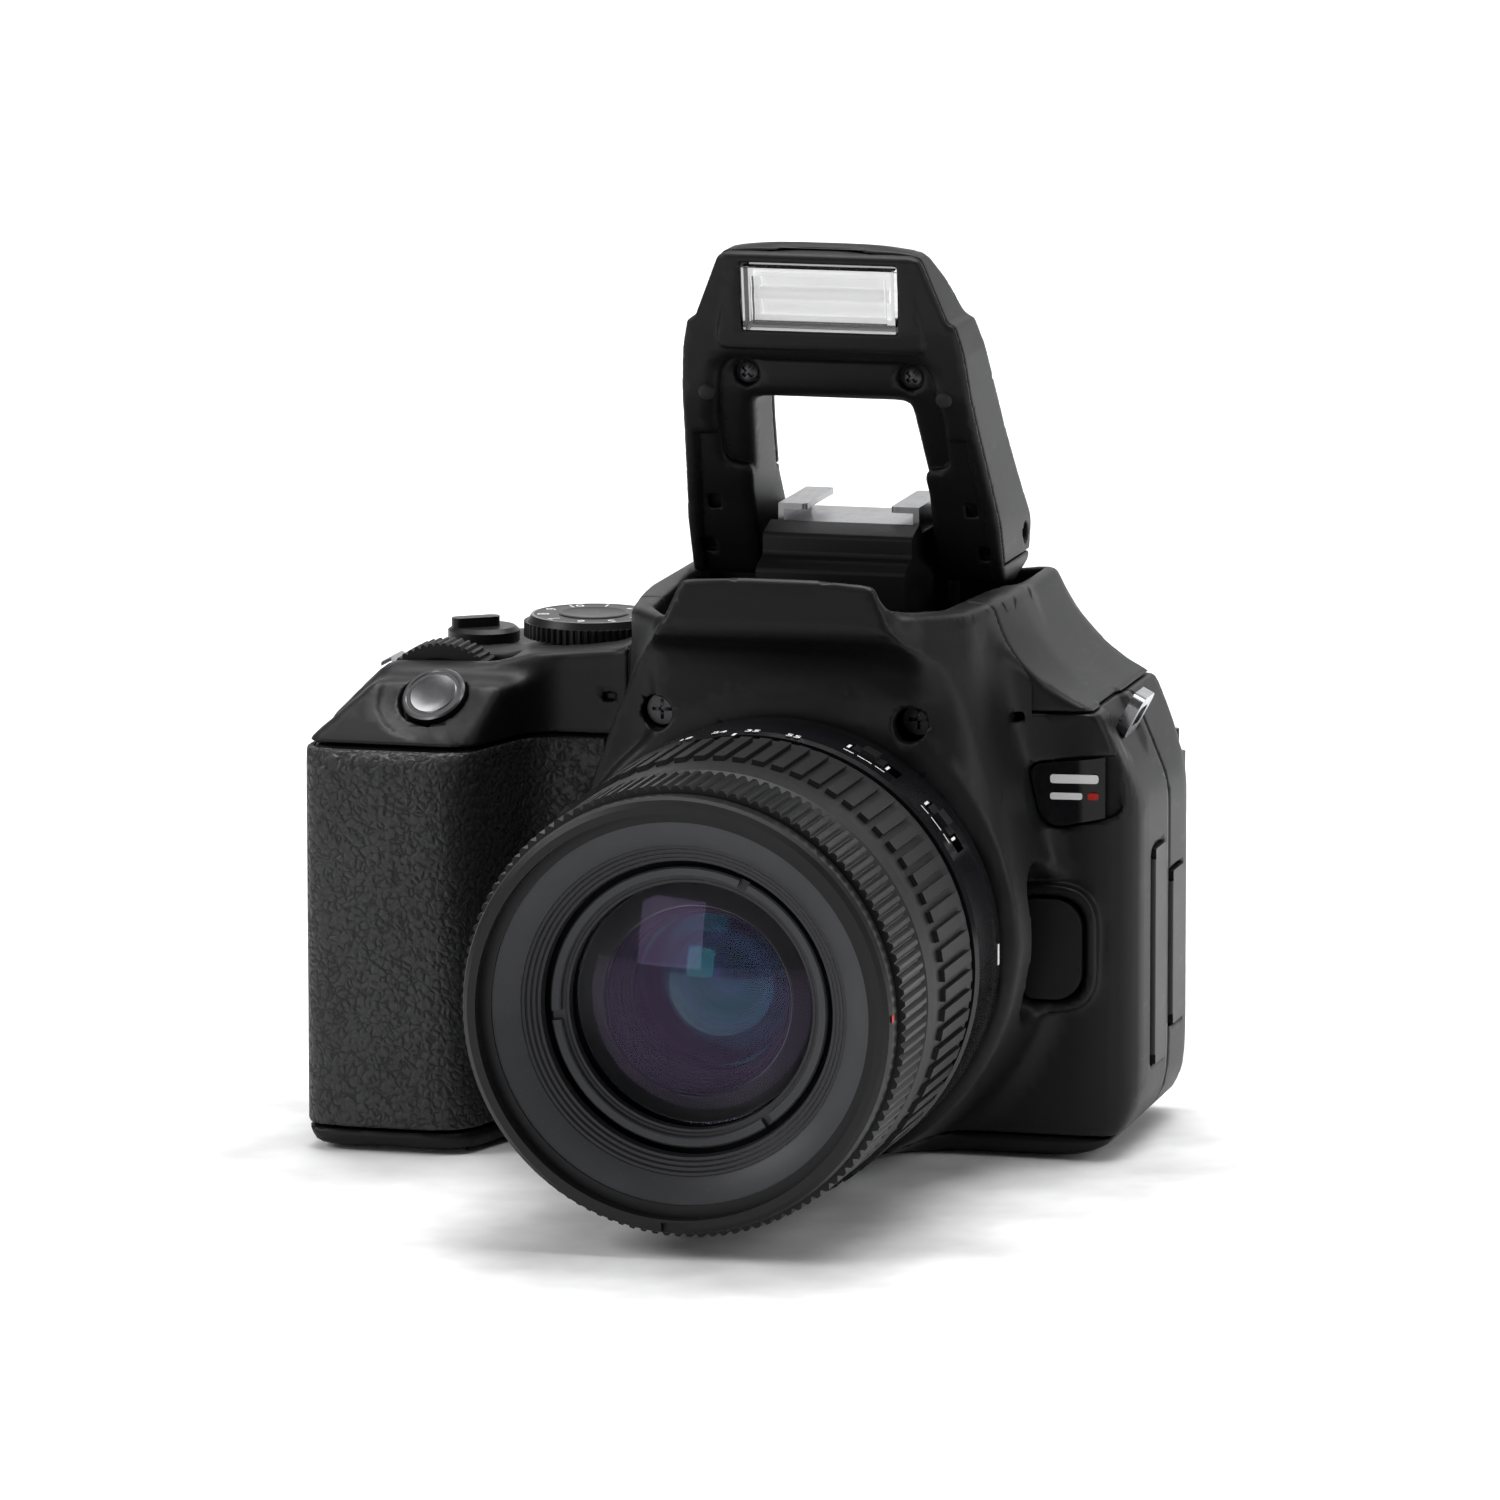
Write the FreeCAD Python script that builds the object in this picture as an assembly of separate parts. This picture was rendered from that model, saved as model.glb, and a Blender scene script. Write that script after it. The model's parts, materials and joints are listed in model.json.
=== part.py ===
import FreeCAD, Part
import math
import os

# A compact single-lens reflex camera with a zoom lens and a raised pop-up flash.
# Millimetres. +Z is up, the lens looks along -Y, +X is the terminal side.
# The origin is the mouth of the tripod socket, on the lens axis.

Vector = FreeCAD.Vector

# ---------------------------------------------------------------- overall sizes
body_width = 122.4
axis_to_right = 48.8          # lens axis to the terminal side
body_front = -18.0            # flat front panel
body_back = 22.0              # flat rear panel
shoulder_height = 69.0        # top of the grip-side shoulder
right_x = axis_to_right
left_x = axis_to_right - body_width

# optics
axis_height = 34.8            # lens axis above the base
flange_distance = 44.0        # mount face to focal plane
focal_y = 8.0
flange_y = focal_y - flange_distance

# walls and clearances
wall = 2.2
rubber_thickness = 1.0
gap = 0.15                    # between pieces that don't move on each other
slide_gap = 0.3               # between moving pieces and their openings
pin_gap = 0.05                # a pin in its bore

# grip
grip_front = -38.0
grip_width = 28.5
grip_corner = 12.0
rubber_bottom = 3.6
rubber_top = shoulder_height - 9.0
rubber_right = -31.5
button_slope = 42.0           # shutter face, from vertical

# front housing
cone_front_radius = 34.8
cone_back_radius = 37.5
nose_front = -41.3
nose_top = shoulder_height + 19.4
nose_half_width = 14.3

# flash
flash_pivot_y = 16.5
flash_pivot_z = shoulder_height + 18.5
flash_inner = 13.3            # arm's inner face
flash_outer = 23.8            # arm's outer face at the pivot
flash_top = flash_pivot_z + 46.5
bay_half_width = 25.6
bay_floor = shoulder_height + 3.2
bay_back = 20.6
bay_front = -38.3

# top block that carries the hot shoe
block_half_width = 11.3
block_top = shoulder_height + 19.9
block_front = -7.8
ear_thickness = 1.6
pin_radius = 1.5

# lens
barrel_radius = 33.25
lens_length = 61.8
front_y = flange_y - lens_length
barrel_front = flange_y - 17.5
zoom_front = flange_y - 40.5
collar_front = flange_y - 44.5
focus_front = flange_y - 57.2
throat_radius = 27.0

# rear monitor
monitor_left = -26.5
monitor_right = 46.0
monitor_bottom = 6.0
monitor_top = shoulder_height - 11.0
monitor_back = 26.3
monitor_thickness = 7.8
hinge_x = 44.5
hinge_y = 24.6

os.makedirs("parts", exist_ok=True)
made = {}


def save(name, *solids):
    """Writes the solids of one named piece."""
    found = []
    for shape in solids:
        found += [s for s in shape.Solids if s.Volume > 0.05]
    for s in found:
        if not s.isValid():
            print("invalid solid in", name)
    shape = found[0] if len(found) == 1 else Part.Compound(found)
    shape.exportStep("parts/%s.step" % name)
    made[name] = shape


# ---------------------------------------------------------------- shape helpers
def box(x0, x1, y0, y1, z0, z1):
    return Part.makeBox(x1 - x0, y1 - y0, z1 - z0, Vector(x0, y0, z0))


def cylinder(centre, axis, radius, length):
    return Part.makeCylinder(radius, length, Vector(*centre), Vector(*axis))


def tube(centre, axis, outer, inner, length):
    return cylinder(centre, axis, outer, length).cut(cylinder(centre, axis, inner, length))


def lens_cylinder(radius, y0, y1):
    """A cylinder on the lens axis."""
    return cylinder((0, y0, axis_height), (0, 1, 0), radius, y1 - y0)


def lens_tube(outer, inner, y0, y1):
    return lens_cylinder(outer, y0, y1).cut(lens_cylinder(inner, y0, y1))


def lens_cone(r0, r1, y0, y1):
    return Part.makeCone(r0, r1, y1 - y0, Vector(0, y0, axis_height), Vector(0, 1, 0))


def turned(points):
    """A solid of revolution about the lens axis from (radius, y) points."""
    corners = [Vector(r, y, axis_height) for r, y in points]
    face = Part.Face(Part.makePolygon(corners + corners[:1]))
    return face.revolve(Vector(0, 0, axis_height), Vector(0, 1, 0), 360)


def inset(points, distance):
    """Moves each edge of an anticlockwise outline inwards; points are (u, v, corner radius)."""
    if not distance:
        return points
    count = len(points)
    moved = []
    for i in range(count):
        before, here, after = points[i - 1], points[i], points[(i + 1) % count]
        a = unit(here[0] - before[0], here[1] - before[1])
        b = unit(after[0] - here[0], after[1] - here[1])
        turn = a[0] * b[1] - a[1] * b[0]
        if abs(turn) < 1e-6:
            moved.append((here[0] - a[1] * distance, here[1] + a[0] * distance, here[2]))
            continue
        share = distance * (1 - a[0] * b[0] - a[1] * b[1]) / turn
        u = here[0] - a[1] * distance - a[0] * share
        v = here[1] + a[0] * distance - a[1] * share
        radius = here[2] - distance if turn > 0 else here[2] + distance
        moved.append((u, v, max(radius, 0.2) if here[2] else 0))
    return moved


def unit(u, v):
    length = math.hypot(u, v)
    return u / length, v / length


def outline(points, place):
    """A closed face through (u, v, corner radius) points; place turns (u, v) into a Vector."""
    count = len(points)
    edges = []
    starts, ends = [], []
    for i in range(count):
        before, here, after = points[i - 1], points[i], points[(i + 1) % count]
        a = unit(before[0] - here[0], before[1] - here[1])
        b = unit(after[0] - here[0], after[1] - here[1])
        angle = math.acos(max(-1, min(1, a[0] * b[0] + a[1] * b[1])))
        if here[2] < 1e-6 or abs(angle - math.pi) < 1e-4:
            starts.append(here[:2])
            ends.append((here[:2], None))
            continue
        reach_limit = 0.49 * min(math.dist(before[:2], here[:2]), math.dist(after[:2], here[:2]))
        reach = min(here[2] / math.tan(angle / 2), reach_limit)
        radius = reach * math.tan(angle / 2)
        first = (here[0] + a[0] * reach, here[1] + a[1] * reach)
        last = (here[0] + b[0] * reach, here[1] + b[1] * reach)
        middle = unit(a[0] + b[0], a[1] + b[1])
        depth = radius / math.sin(angle / 2)
        top = (here[0] + middle[0] * (depth - radius), here[1] + middle[1] * (depth - radius))
        starts.append(first)
        ends.append((last, top))
    for i in range(count):
        last, top = ends[i]
        if top is not None:
            edges.append(Part.Arc(place(*starts[i]), place(*top), place(*last)).toShape())
        following = starts[(i + 1) % count]
        if math.dist(last, following) > 1e-6:
            edges.append(Part.LineSegment(place(*last), place(*following)).toShape())
    return Part.Face(Part.Wire(edges))


def prism_z(points, z0, z1, shrink=0):
    face = outline(inset(points, shrink), lambda u, v: Vector(u, v, z0))
    return face.extrude(Vector(0, 0, z1 - z0))


def prism_y(points, y0, y1, shrink=0):
    """Extrudes an outline given in X and Z along Y."""
    face = outline(inset(points, shrink), lambda u, v: Vector(u, y0, v))
    return face.extrude(Vector(0, y1 - y0, 0))


def prism_x(points, x0, x1, shrink=0):
    """Extrudes an outline given in Y and Z along X."""
    face = outline(inset(points, shrink), lambda u, v: Vector(x0, u, v))
    return face.extrude(Vector(x1 - x0, 0, 0))


def pad_y(x0, x1, z0, z1, radius, y0, y1, shrink=0):
    """A rounded rectangular plate facing Y."""
    corners = [(x0, z0, radius), (x1, z0, radius), (x1, z1, radius), (x0, z1, radius)]
    return prism_y(corners, y0, y1, shrink)


def pad_x(y0, y1, z0, z1, radius, x0, x1, shrink=0):
    corners = [(y0, z0, radius), (y1, z0, radius), (y1, z1, radius), (y0, z1, radius)]
    return prism_x(corners, x0, x1, shrink)


def pad_z(x0, x1, y0, y1, radius, z0, z1, shrink=0):
    corners = [(x0, y0, radius), (x1, y0, radius), (x1, y1, radius), (x0, y1, radius)]
    return prism_z(corners, z0, z1, shrink)


def mirrored(shape):
    """The same shape on the other side of the lens axis."""
    return shape.mirror(Vector(0, 0, 0), Vector(1, 0, 0))


def both_sides(shape):
    return [shape, mirrored(shape)]


def fused(shapes):
    first = shapes[0]
    return first.fuse(shapes[1:]) if len(shapes) > 1 else first


def symmetric(half):
    """A full outline from the right half's points, listed from the bottom up."""
    return half + [(-u, v, r) for u, v, r in reversed(half)]


# ---------------------------------------------------------------- outer body
def main_box(shrink):
    plan = [
        (left_x, body_front, 4),
        (right_x, body_front, 9),
        (right_x, body_back, 7),
        (left_x, body_back, 8),
    ]
    front = [
        (left_x, 0, 6),
        (right_x, 0, 13),
        (right_x, shoulder_height - 17, 12),
        (right_x - 6, shoulder_height - 2.6, 3),
        (right_x - 12, shoulder_height + 0.2, 6),
        (right_x - 21, shoulder_height + 4.2, 8),
        (-27, shoulder_height + 4.5, 4),
        (-42.5, shoulder_height + 3, 3),
        (-49, shoulder_height + 0.7, 3),
        (left_x + 9.5, shoulder_height, 3),
        (left_x + 0.2, shoulder_height - 9, 3),
    ]
    side = [
        (body_front, 0, 3),
        (body_back, 0, 3),
        (body_back, shoulder_height + 6, 3),
        (body_front, shoulder_height + 6, 2),
    ]
    solid = prism_z(plan, 0 - 1, shoulder_height + 10, shrink)
    solid = solid.common(prism_y(front, body_front - 1, body_back + 1, shrink))
    return solid.common(prism_x(side, left_x - 1, right_x + 1, shrink))


def grip(shrink):
    grip_right = left_x + grip_width
    plan = [
        (left_x, -6, 3),
        (left_x, grip_front, grip_corner),
        (grip_right - 4, grip_front, grip_corner),
        (grip_right + 3, body_front + 1, 5),
        (grip_right + 8, -6, 2),
    ]
    slope = math.tan(math.radians(90 - button_slope))
    slope_foot = shoulder_height - 11
    slope_head_y = grip_front + (shoulder_height - slope_foot) * slope
    side = [
        (grip_front, 0, 5),
        (-6, 0, 0),
        (-6, shoulder_height, 0),
        (slope_head_y, shoulder_height, 2),
        (grip_front, slope_foot, 5),
    ]
    front = [
        (left_x, 0, 6),
        (grip_right + 8, 0, 2),
        (grip_right + 8, shoulder_height, 2),
        (left_x + 9.5, shoulder_height, 3),
        (left_x + 0.2, shoulder_height - 9, 3),
    ]
    solid = prism_z(plan, -1, shoulder_height + 1, shrink)
    solid = solid.common(prism_x(side, left_x - 1, grip_right + 9, shrink))
    return solid.common(prism_y(front, grip_front - 1, 0, shrink))


def cone(shrink):
    solid = lens_cone(
        cone_front_radius - shrink, cone_back_radius - shrink, flange_y + shrink, body_front + 4
    )
    return solid.common(box(-60, 60, -60, 0, 0.2 + shrink, 90))


def nose(shrink):
    waist = axis_height + 20
    side = [
        (body_front + 4, axis_height, 0),
        (body_front + 4, nose_top - 6, 0),
        (nose_front + 3.1, nose_top, 0.5),
        (nose_front + 1.7, nose_top, 0.8),
        (nose_front, nose_top - 7.4, 0.8),
        (nose_front + 0.3, nose_top - 8.8, 1),
        (nose_front + 5, nose_top - 12, 4),
        (nose_front + 7.8, nose_top - 17, 6),
        (nose_front + 8.2, waist, 4),
        (flange_y + 2, axis_height, 0),
    ]
    half = [
        (33, axis_height - 4, 0),
        (30.4, waist, 10),
        (26.3, nose_top - 22.1, 10),
        (22.2, nose_top - 13.9, 4),
        (nose_half_width + 2.3, nose_top - 6.2, 1.5),
        (nose_half_width, nose_top - 0.8, 2),
        (5, nose_top, 20),
    ]
    solid = prism_x(side, -40, 40, shrink)
    return solid.common(prism_y(symmetric(half), nose_front - 2, body_front + 6, shrink))


def hump(shrink):
    half_plan = [
        (bay_half_width + 2.9, body_back, 3),
        (bay_half_width + 2.9, -5, 14),
        (25, -28, 8),
        (19, -34, 2),
    ]
    plan = [half_plan[i] for i in (3, 2, 1, 0)]
    plan = plan + [(-u, v, r) for u, v, r in reversed(plan)]
    half_front = [
        (bay_half_width + 8, shoulder_height - 8, 0),
        (bay_half_width + 4.2, shoulder_height + 2, 8),
        (bay_half_width + 2, shoulder_height + 12, 1.2),
    ]
    solid = prism_z(plan, shoulder_height - 8 + 0.01, shoulder_height + 14, shrink)
    return solid.common(prism_y(symmetric(half_front), -40, body_back + 1, shrink))


def bay_plan(clear):
    """The flash bay seen from above, as wide as the folded flash plus clear on each side."""
    half = [
        (15.0 + clear, bay_front - clear, 1),
        (20.9 + clear, -27, 4),
        (22.6 + clear, -8, 10),
        (bay_half_width - 0.6 + clear, 8, 10),
        (bay_half_width - 0.6 + clear, bay_back, 1.5),
    ]
    return half + [(-u, v, r) for u, v, r in reversed(half)]


def bay(clear=0.6):
    """The open space over the tray that takes the folded flash."""
    side = [
        (bay_front, flash_pivot_z + 20, 0),
        (bay_front, nose_top - 9.2, 0.5),
        (bay_front + 4.9, nose_top - 11.2, 1),
        (bay_front + 9.4, bay_floor - 1.4, 0),
        (bay_back, bay_floor - 1.4, 0),
        (bay_back, flash_pivot_z + 20, 0),
    ]
    solid = prism_z(bay_plan(clear), bay_floor - 20, flash_pivot_z + 20)
    return solid.common(prism_x(side, -40, 40))


def eyepiece_tower(shrink):
    return pad_y(
        -14, 14, shoulder_height - 9.6, shoulder_height + 15, 4, body_back - 8, body_back + 3.5, shrink
    )


def body_solid(shrink):
    parts = [f(shrink) for f in (main_box, grip, cone, nose, hump)]
    return fused(parts).removeSplitter()


outer = body_solid(0)
skin = body_solid(rubber_thickness)
hollow = main_box(wall).fuse([grip(wall), cone(wall), nose(wall)])

# openings in the shells
monitor_pocket = pad_y(
    monitor_left - 0.5, monitor_right + 0.5, monitor_bottom - 0.5, monitor_top + 0.5, 4,
    monitor_back - monitor_thickness - 0.6, body_back + 5,
)
pocket_wall = pad_y(
    monitor_left - 0.5 - wall, monitor_right + 3, monitor_bottom - 0.5 - wall, monitor_top + 0.5 + wall, 4,
    monitor_back - monitor_thickness - 0.6 - wall, body_back + 5,
)
bay_room = bay()
bay_walls = prism_z(bay_plan(0.6 + wall), bay_floor - 3.4, nose_top + 10)
light_hole = box(-9.9, 9.9, block_front + 1.5, 7.8, shoulder_height - 6, bay_floor)
tower = eyepiece_tower(0)
tower_hole = pad_y(-10, 10, shoulder_height - 2, shoulder_height + 11.5, 2, 0, body_back + 10)
hollow = hollow.cut([pocket_wall, bay_walls])

# front-to-back limits of the covers
split_y = 5.0
top_split_left = rubber_top + 0.6
top_split_right = shoulder_height - 2.5
top_zone = fused([
    box(left_x - 5, rubber_right + 3.5, -60, 60, top_split_left, 120),
    box(rubber_right + 3.4, right_x + 5, body_front - 0.5, 60, top_split_right, 120),
])
mount_hole = lens_cylinder(cone_front_radius - 3.2, flange_y - 5, body_front + 12)

# shutter button axis, leaning out and forwards
lean = math.radians(button_slope)
button_axis = Vector(-0.128, -math.sin(lean), math.cos(lean)).normalize()
button_centre = Vector(left_x + 18.6, grip_front + 11, shoulder_height - 2.4)
button_radius = 4.9

mode_centre = Vector(-38.4, 1, shoulder_height + 3)
mode_radius = 10.4
mode_height = 3.4
switch_centre = Vector(-56.5, 5, shoulder_height + 0.9)
switch_radius = 5.4
dial_centre = Vector(left_x + 16.1, -12, shoulder_height - 6.4)
dial_radius = 10.0
dial_width = 5.6
post_radius = 1.6


def along(centre, axis, distance):
    return centre + Vector(*axis) * distance


# ---------------------------------------------------------------- covers
def cover_shell():
    shell = outer.fuse(tower).cut(hollow)
    shell = shell.cut([monitor_pocket, bay_room, mount_hole, tower_hole, light_hole])
    return shell


shell = cover_shell()
rubber_zone = box(left_x - 5, rubber_right, -60, split_y - 1, rubber_bottom, rubber_top)
rubber_layer = outer.cut(skin).common(rubber_zone)
grip_rubber = rubber_layer.cut(nose(0).fuse(cone(0)))

# battery door in the base, under the grip
door_x0, door_x1 = left_x + 3.2, left_x + 25
door_y0, door_y1 = grip_front + 7, 8.0
door_thickness = 1.9
door_hole = box(door_x0 - slide_gap, door_x1 + slide_gap, door_y0 - slide_gap, door_y1 + slide_gap, -1, 12)
tripod_radius = 3.175
socket_radius = 5.2
socket_depth = 6.0
base_top = 3.6

base = shell.common(box(-200, 200, -200, 200, -1, base_top - 0.05))
socket_seat = cylinder((0, 0, -1), (0, 0, 1), socket_radius + gap, 12)
ledge = box(door_x1 + slide_gap + 0.2, door_x1 + 4, door_y0 - 4, door_y1 + 4, wall - 0.1, base_top - 0.05)
hinge_line = (door_x1 - door_thickness / 2, door_thickness / 2)
door_pin_hole = cylinder(
    (hinge_line[0], door_y0 - 2.2, hinge_line[1]), (0, 1, 0), 0.6 + pin_gap, door_y1 - door_y0 + 4.4
)
base_screws = [(-38, 12), (-38, -10), (36, 12), (34, -6)]
screw_head_radius = 2.3
screw_depth = 1.2


def screw(x, y, z, axis, length):
    """A pan-head cross-slot screw whose head top is at the point and whose shank runs back along axis."""
    direction = Vector(*axis)
    top = Vector(x, y, z)
    head = Part.makeCylinder(screw_head_radius, screw_depth, top, direction * -1)
    shank = Part.makeCylinder(1.0, length, top - direction * screw_depth, direction * -1)
    slot = box(-1.5, 1.5, -0.25, 0.25, -0.6, 0.1).fuse(box(-0.25, 0.25, -1.5, 1.5, -0.6, 0.1))
    slot.Placement = FreeCAD.Placement(top, FreeCAD.Rotation(Vector(0, 0, 1), direction))
    return head.fuse(shank).cut(slot)


def screw_hole(x, y, z, axis, length):
    direction = Vector(*axis)
    top = Vector(x, y, z) + direction * 3
    head = Part.makeCylinder(screw_head_radius + gap, screw_depth + 3, top, direction * -1)
    shank = Part.makeCylinder(1.0 + gap, length + screw_depth + 3.2, top, direction * -1)
    return head.fuse(shank)


nose_screw_x = 19.2
nose_screw_z = nose_top - 21.3
nose_screw_y = nose_front + 9.6
screws = [screw(s * nose_screw_x, nose_screw_y, nose_screw_z, (0, -1, 0), 3) for s in (-1, 1)]
screw_cuts = [screw_hole(s * nose_screw_x, nose_screw_y, nose_screw_z, (0, -1, 0), 3) for s in (-1, 1)]
screws += [screw(x, y, 0.5, (0, 0, -1), 3) for x, y in base_screws]
base_cuts = [screw_hole(x, y, 0.5, (0, 0, -1), 3) for x, y in base_screws]
base_bosses = [cylinder((x, y, wall - 0.2), (0, 0, 1), 3, base_top - wall + 0.15) for x, y in base_screws]
socket_boss = cylinder((0, 0, wall - 0.2), (0, 0, 1), socket_radius + 3, base_top - wall + 0.15)
base = base.fuse([ledge.common(outer), socket_boss] + base_bosses)
bottom_cover = base.cut([door_hole, socket_seat, door_pin_hole] + base_cuts)
save("bottom_cover", bottom_cover)

# lens release: a D-shaped button in a round dish on the front
release_x, release_z = 36.4, axis_height - 2.9
release_half_height = 7.4
release_front = body_front - 2.4


def release_outline(grow):
    x0, x1 = release_x - 4.2 - grow, release_x + 4.5 + grow
    z0, z1 = release_z - release_half_height - grow, release_z + release_half_height + grow
    return [(x0, z0, 1.6), (x1, z0, 4.2), (x1, z1, 4.2), (x0, z1, 1.6)]


release_rim = prism_y(release_outline(2.2), release_front + 0.5, body_front + 1.0)
release_hole = prism_y(release_outline(slide_gap), release_front - 5, body_front + 6)
pin_x, pin_z = 30.6, axis_height - 2.9
pin_hole = cylinder((pin_x, flange_y - 3, pin_z), (0, 1, 0), 1.3 + slide_gap, 26)

badge = [(34.4, 49.1, 3.5), (46.2, 51.5, 3.5), (45.6, 60.4, 2), (32.1, 58.9, 2)]
badge_pocket = prism_y(badge, body_front - 5, body_front + 0.9)
badge_face = prism_y(badge, body_front - 5, body_front + 0.85, gap)
front_zone = box(-200, 200, -200, split_y - 0.05, base_top, 200)
front_cover = shell.common(front_zone).cut(top_zone).cut(rubber_layer)
front_cover = front_cover.fuse(release_rim)
mic_holes = [
    pad_y(s * 31 - 0.9, s * 31 + 0.9, 65.5, 66.7, 0.55, body_front - 6, body_front + 6)
    for s in (-1, 1)
]
front_cover = front_cover.cut([release_hole, pin_hole, badge_pocket] + screw_cuts + mic_holes)
save("badge_plate", badge_face.common(outer))

# terminal doors on the right side
side_door_thickness = 1.5
mic_door = (-6.6, 1.4, 12.6, 44.8)
hdmi_door = (split_y + 0.4, 14.0, 16.4, 39.4)


def side_door(y0, y1, z0, z1, knuckle_front):
    """A flush side door; its hinge edge is a half round, so that it turns in its pocket."""
    half = side_door_thickness / 2
    flat = pad_x(y0, y1, z0, z1, 1.2, right_x - side_door_thickness, right_x)
    edge_y = y0 + half if knuckle_front else y1 - half
    keep = box(0, 100, edge_y, y1, z0, z1) if knuckle_front else box(0, 100, y0, edge_y, z0, z1)
    knuckle = cylinder((right_x - half, edge_y, z0 + 1.5), (0, 0, 1), half, z1 - z0 - 3)
    return flat.common(keep).fuse(knuckle).removeSplitter()


def side_pocket(y0, y1, z0, z1):
    deep = right_x - side_door_thickness - 0.25
    return pad_x(y0 - 0.15, y1 + 0.15, z0 - 0.15, z1 + 0.15, 0.3, deep, right_x + 5)


side_lining = box(right_x - wall - 1.6, right_x - wall + 0.2, -8, 15, 10, 47)
front_cover = front_cover.fuse(side_lining.common(box(0, 100, -50, split_y - 0.05, 0, 100)))
front_cover = front_cover.cut([side_pocket(*mic_door)])
jack_x = right_x - wall - 4
jacks = [cylinder((jack_x, -2.6, z), (1, 0, 0), 1.8, 12) for z in (20, 37)]
front_cover = front_cover.cut(jacks)

# strap lugs: bent eyes in recesses at the upper corners
lug_right = (right_x - 3.6, -5.0, shoulder_height - 4.2)
lug_left = (left_x + 4.0, 6.0, shoulder_height - 5.2)


def lug(x, y, z, side):
    """An eye of flat bar that leans out of the corner."""
    plate = pad_y(-4.2, 4.2, -3.4, 3.4, 1.8, -0.9, 0.9)
    eye = pad_y(-2.6, 2.6, -1.5, 1.6, 1.1, -3, 3)
    piece = plate.cut(eye)
    piece.rotate(Vector(0, 0, 0), Vector(0, 0, 1), 90)
    piece.rotate(Vector(0, 0, 0), Vector(0, 1, 0), side * 28)
    piece.translate(Vector(x, y, z))
    return piece


def lug_recess(x, y, z, side):
    dish = pad_y(-6.2, 6.2, -6.4, 7.4, 3.2, -2.4, 9)
    dish.rotate(Vector(0, 0, 0), Vector(0, 0, 1), -90 * side)
    dish.rotate(Vector(0, 0, 0), Vector(0, 1, 0), side * 28)
    dish.translate(Vector(x, y, z))
    return dish


def lug_backing(x, y, z, side):
    """Solid plastic behind a recess, so that the corner stays closed."""
    block = pad_y(-7.6, 7.6, -8.2, 7.0, 3, -6.2, 2)
    block.rotate(Vector(0, 0, 0), Vector(0, 0, 1), -90 * side)
    block.rotate(Vector(0, 0, 0), Vector(0, 1, 0), side * 28)
    block.translate(Vector(x, y, z))
    return block.common(outer)


recess_right = lug_recess(*lug_right, 1)
recess_left = lug_recess(*lug_left, -1)
backing = fused([lug_backing(*lug_right, 1), lug_backing(*lug_left, -1)])
front_cover = front_cover.fuse(backing.common(front_zone).cut(top_zone))
front_cover = front_cover.cut([recess_right, recess_left])
save("front_cover", front_cover.removeSplitter())

# ---------------------------------------------------------------- rear button places
button_places = {
    "menu_button": (39.5, shoulder_height - 6.2, 2.6),
    "live_view_button": (-21.0, shoulder_height - 6.4, 2.9),
    "ae_lock_button": (-60.5, shoulder_height - 11.8, 2.3),
    "playback_button": (-40.0, 15.0, 2.8),
}
keys_centre = (-49.0, 33.0)
keys_radius = 9.0
set_radius = 3.7
diopter_place = Vector(18.9, body_back + 0.2, shoulder_height + 7)
rear_proud = 0.9

rear_bores = [Part.makeCylinder(1.0 + pin_gap, 9, diopter_place - Vector(0, 5, 0), Vector(0, 1, 0))]
for x, z, radius in button_places.values():
    rear_bores.append(cylinder((x, 0, z), (0, 1, 0), radius + slide_gap, 40))

# ---------------------------------------------------------------- top cover
button_seat = Part.makeCylinder(
    button_radius + 1.1, 2.6, along(button_centre, button_axis, -1.0), button_axis
)
button_collar = Part.makeCone(
    button_radius + 3.4, button_radius + 2.2, 1.0, along(button_centre, button_axis, -0.4), button_axis
)
button_boss = Part.makeCylinder(
    button_radius + 2.2, 5.0, along(button_centre, button_axis, -5.2), button_axis
)
button_hole = Part.makeCylinder(
    button_radius + slide_gap, 3.8, along(button_centre, button_axis, -2.8), button_axis
)
stem_hole = Part.makeCylinder(post_radius + pin_gap, 20, along(button_centre, button_axis, -12), button_axis)
dial_slot = box(
    dial_centre.x - dial_radius - slide_gap, dial_centre.x + dial_radius + slide_gap,
    dial_centre.y - dial_width / 2 - slide_gap, dial_centre.y + dial_width / 2 + slide_gap,
    dial_centre.z - dial_radius, shoulder_height + 10,
)
axle_radius = 1.2
axle_reach = dial_width / 2 + slide_gap + 1.4
dial_axle = cylinder(
    (dial_centre.x, dial_centre.y - axle_reach, dial_centre.z), (0, 1, 0), axle_radius, 2 * axle_reach
)
cheek = box(dial_centre.x - 3, dial_centre.x + 3, dial_centre.y - axle_reach, dial_centre.y + axle_reach,
            dial_centre.z - 2.5, shoulder_height - 0.5)
dial_holder = cheek.common(outer).cut(dial_slot).fuse(dial_axle)
mode_boss = Part.makeCylinder(mode_radius - 0.6, 6, mode_centre + Vector(0, 0, -6.2), Vector(0, 0, 1))
mode_room = Part.makeCylinder(mode_radius + slide_gap, 20, mode_centre, Vector(0, 0, 1))
mode_bore = Part.makeCylinder(post_radius + pin_gap, 20, mode_centre + Vector(0, 0, -12), Vector(0, 0, 1))
switch_boss = Part.makeCylinder(switch_radius - 0.8, 4, switch_centre + Vector(0, 0, -4.2), Vector(0, 0, 1))
switch_bore = Part.makeCylinder(post_radius + pin_gap, 20, switch_centre + Vector(0, 0, -12), Vector(0, 0, 1))

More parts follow.
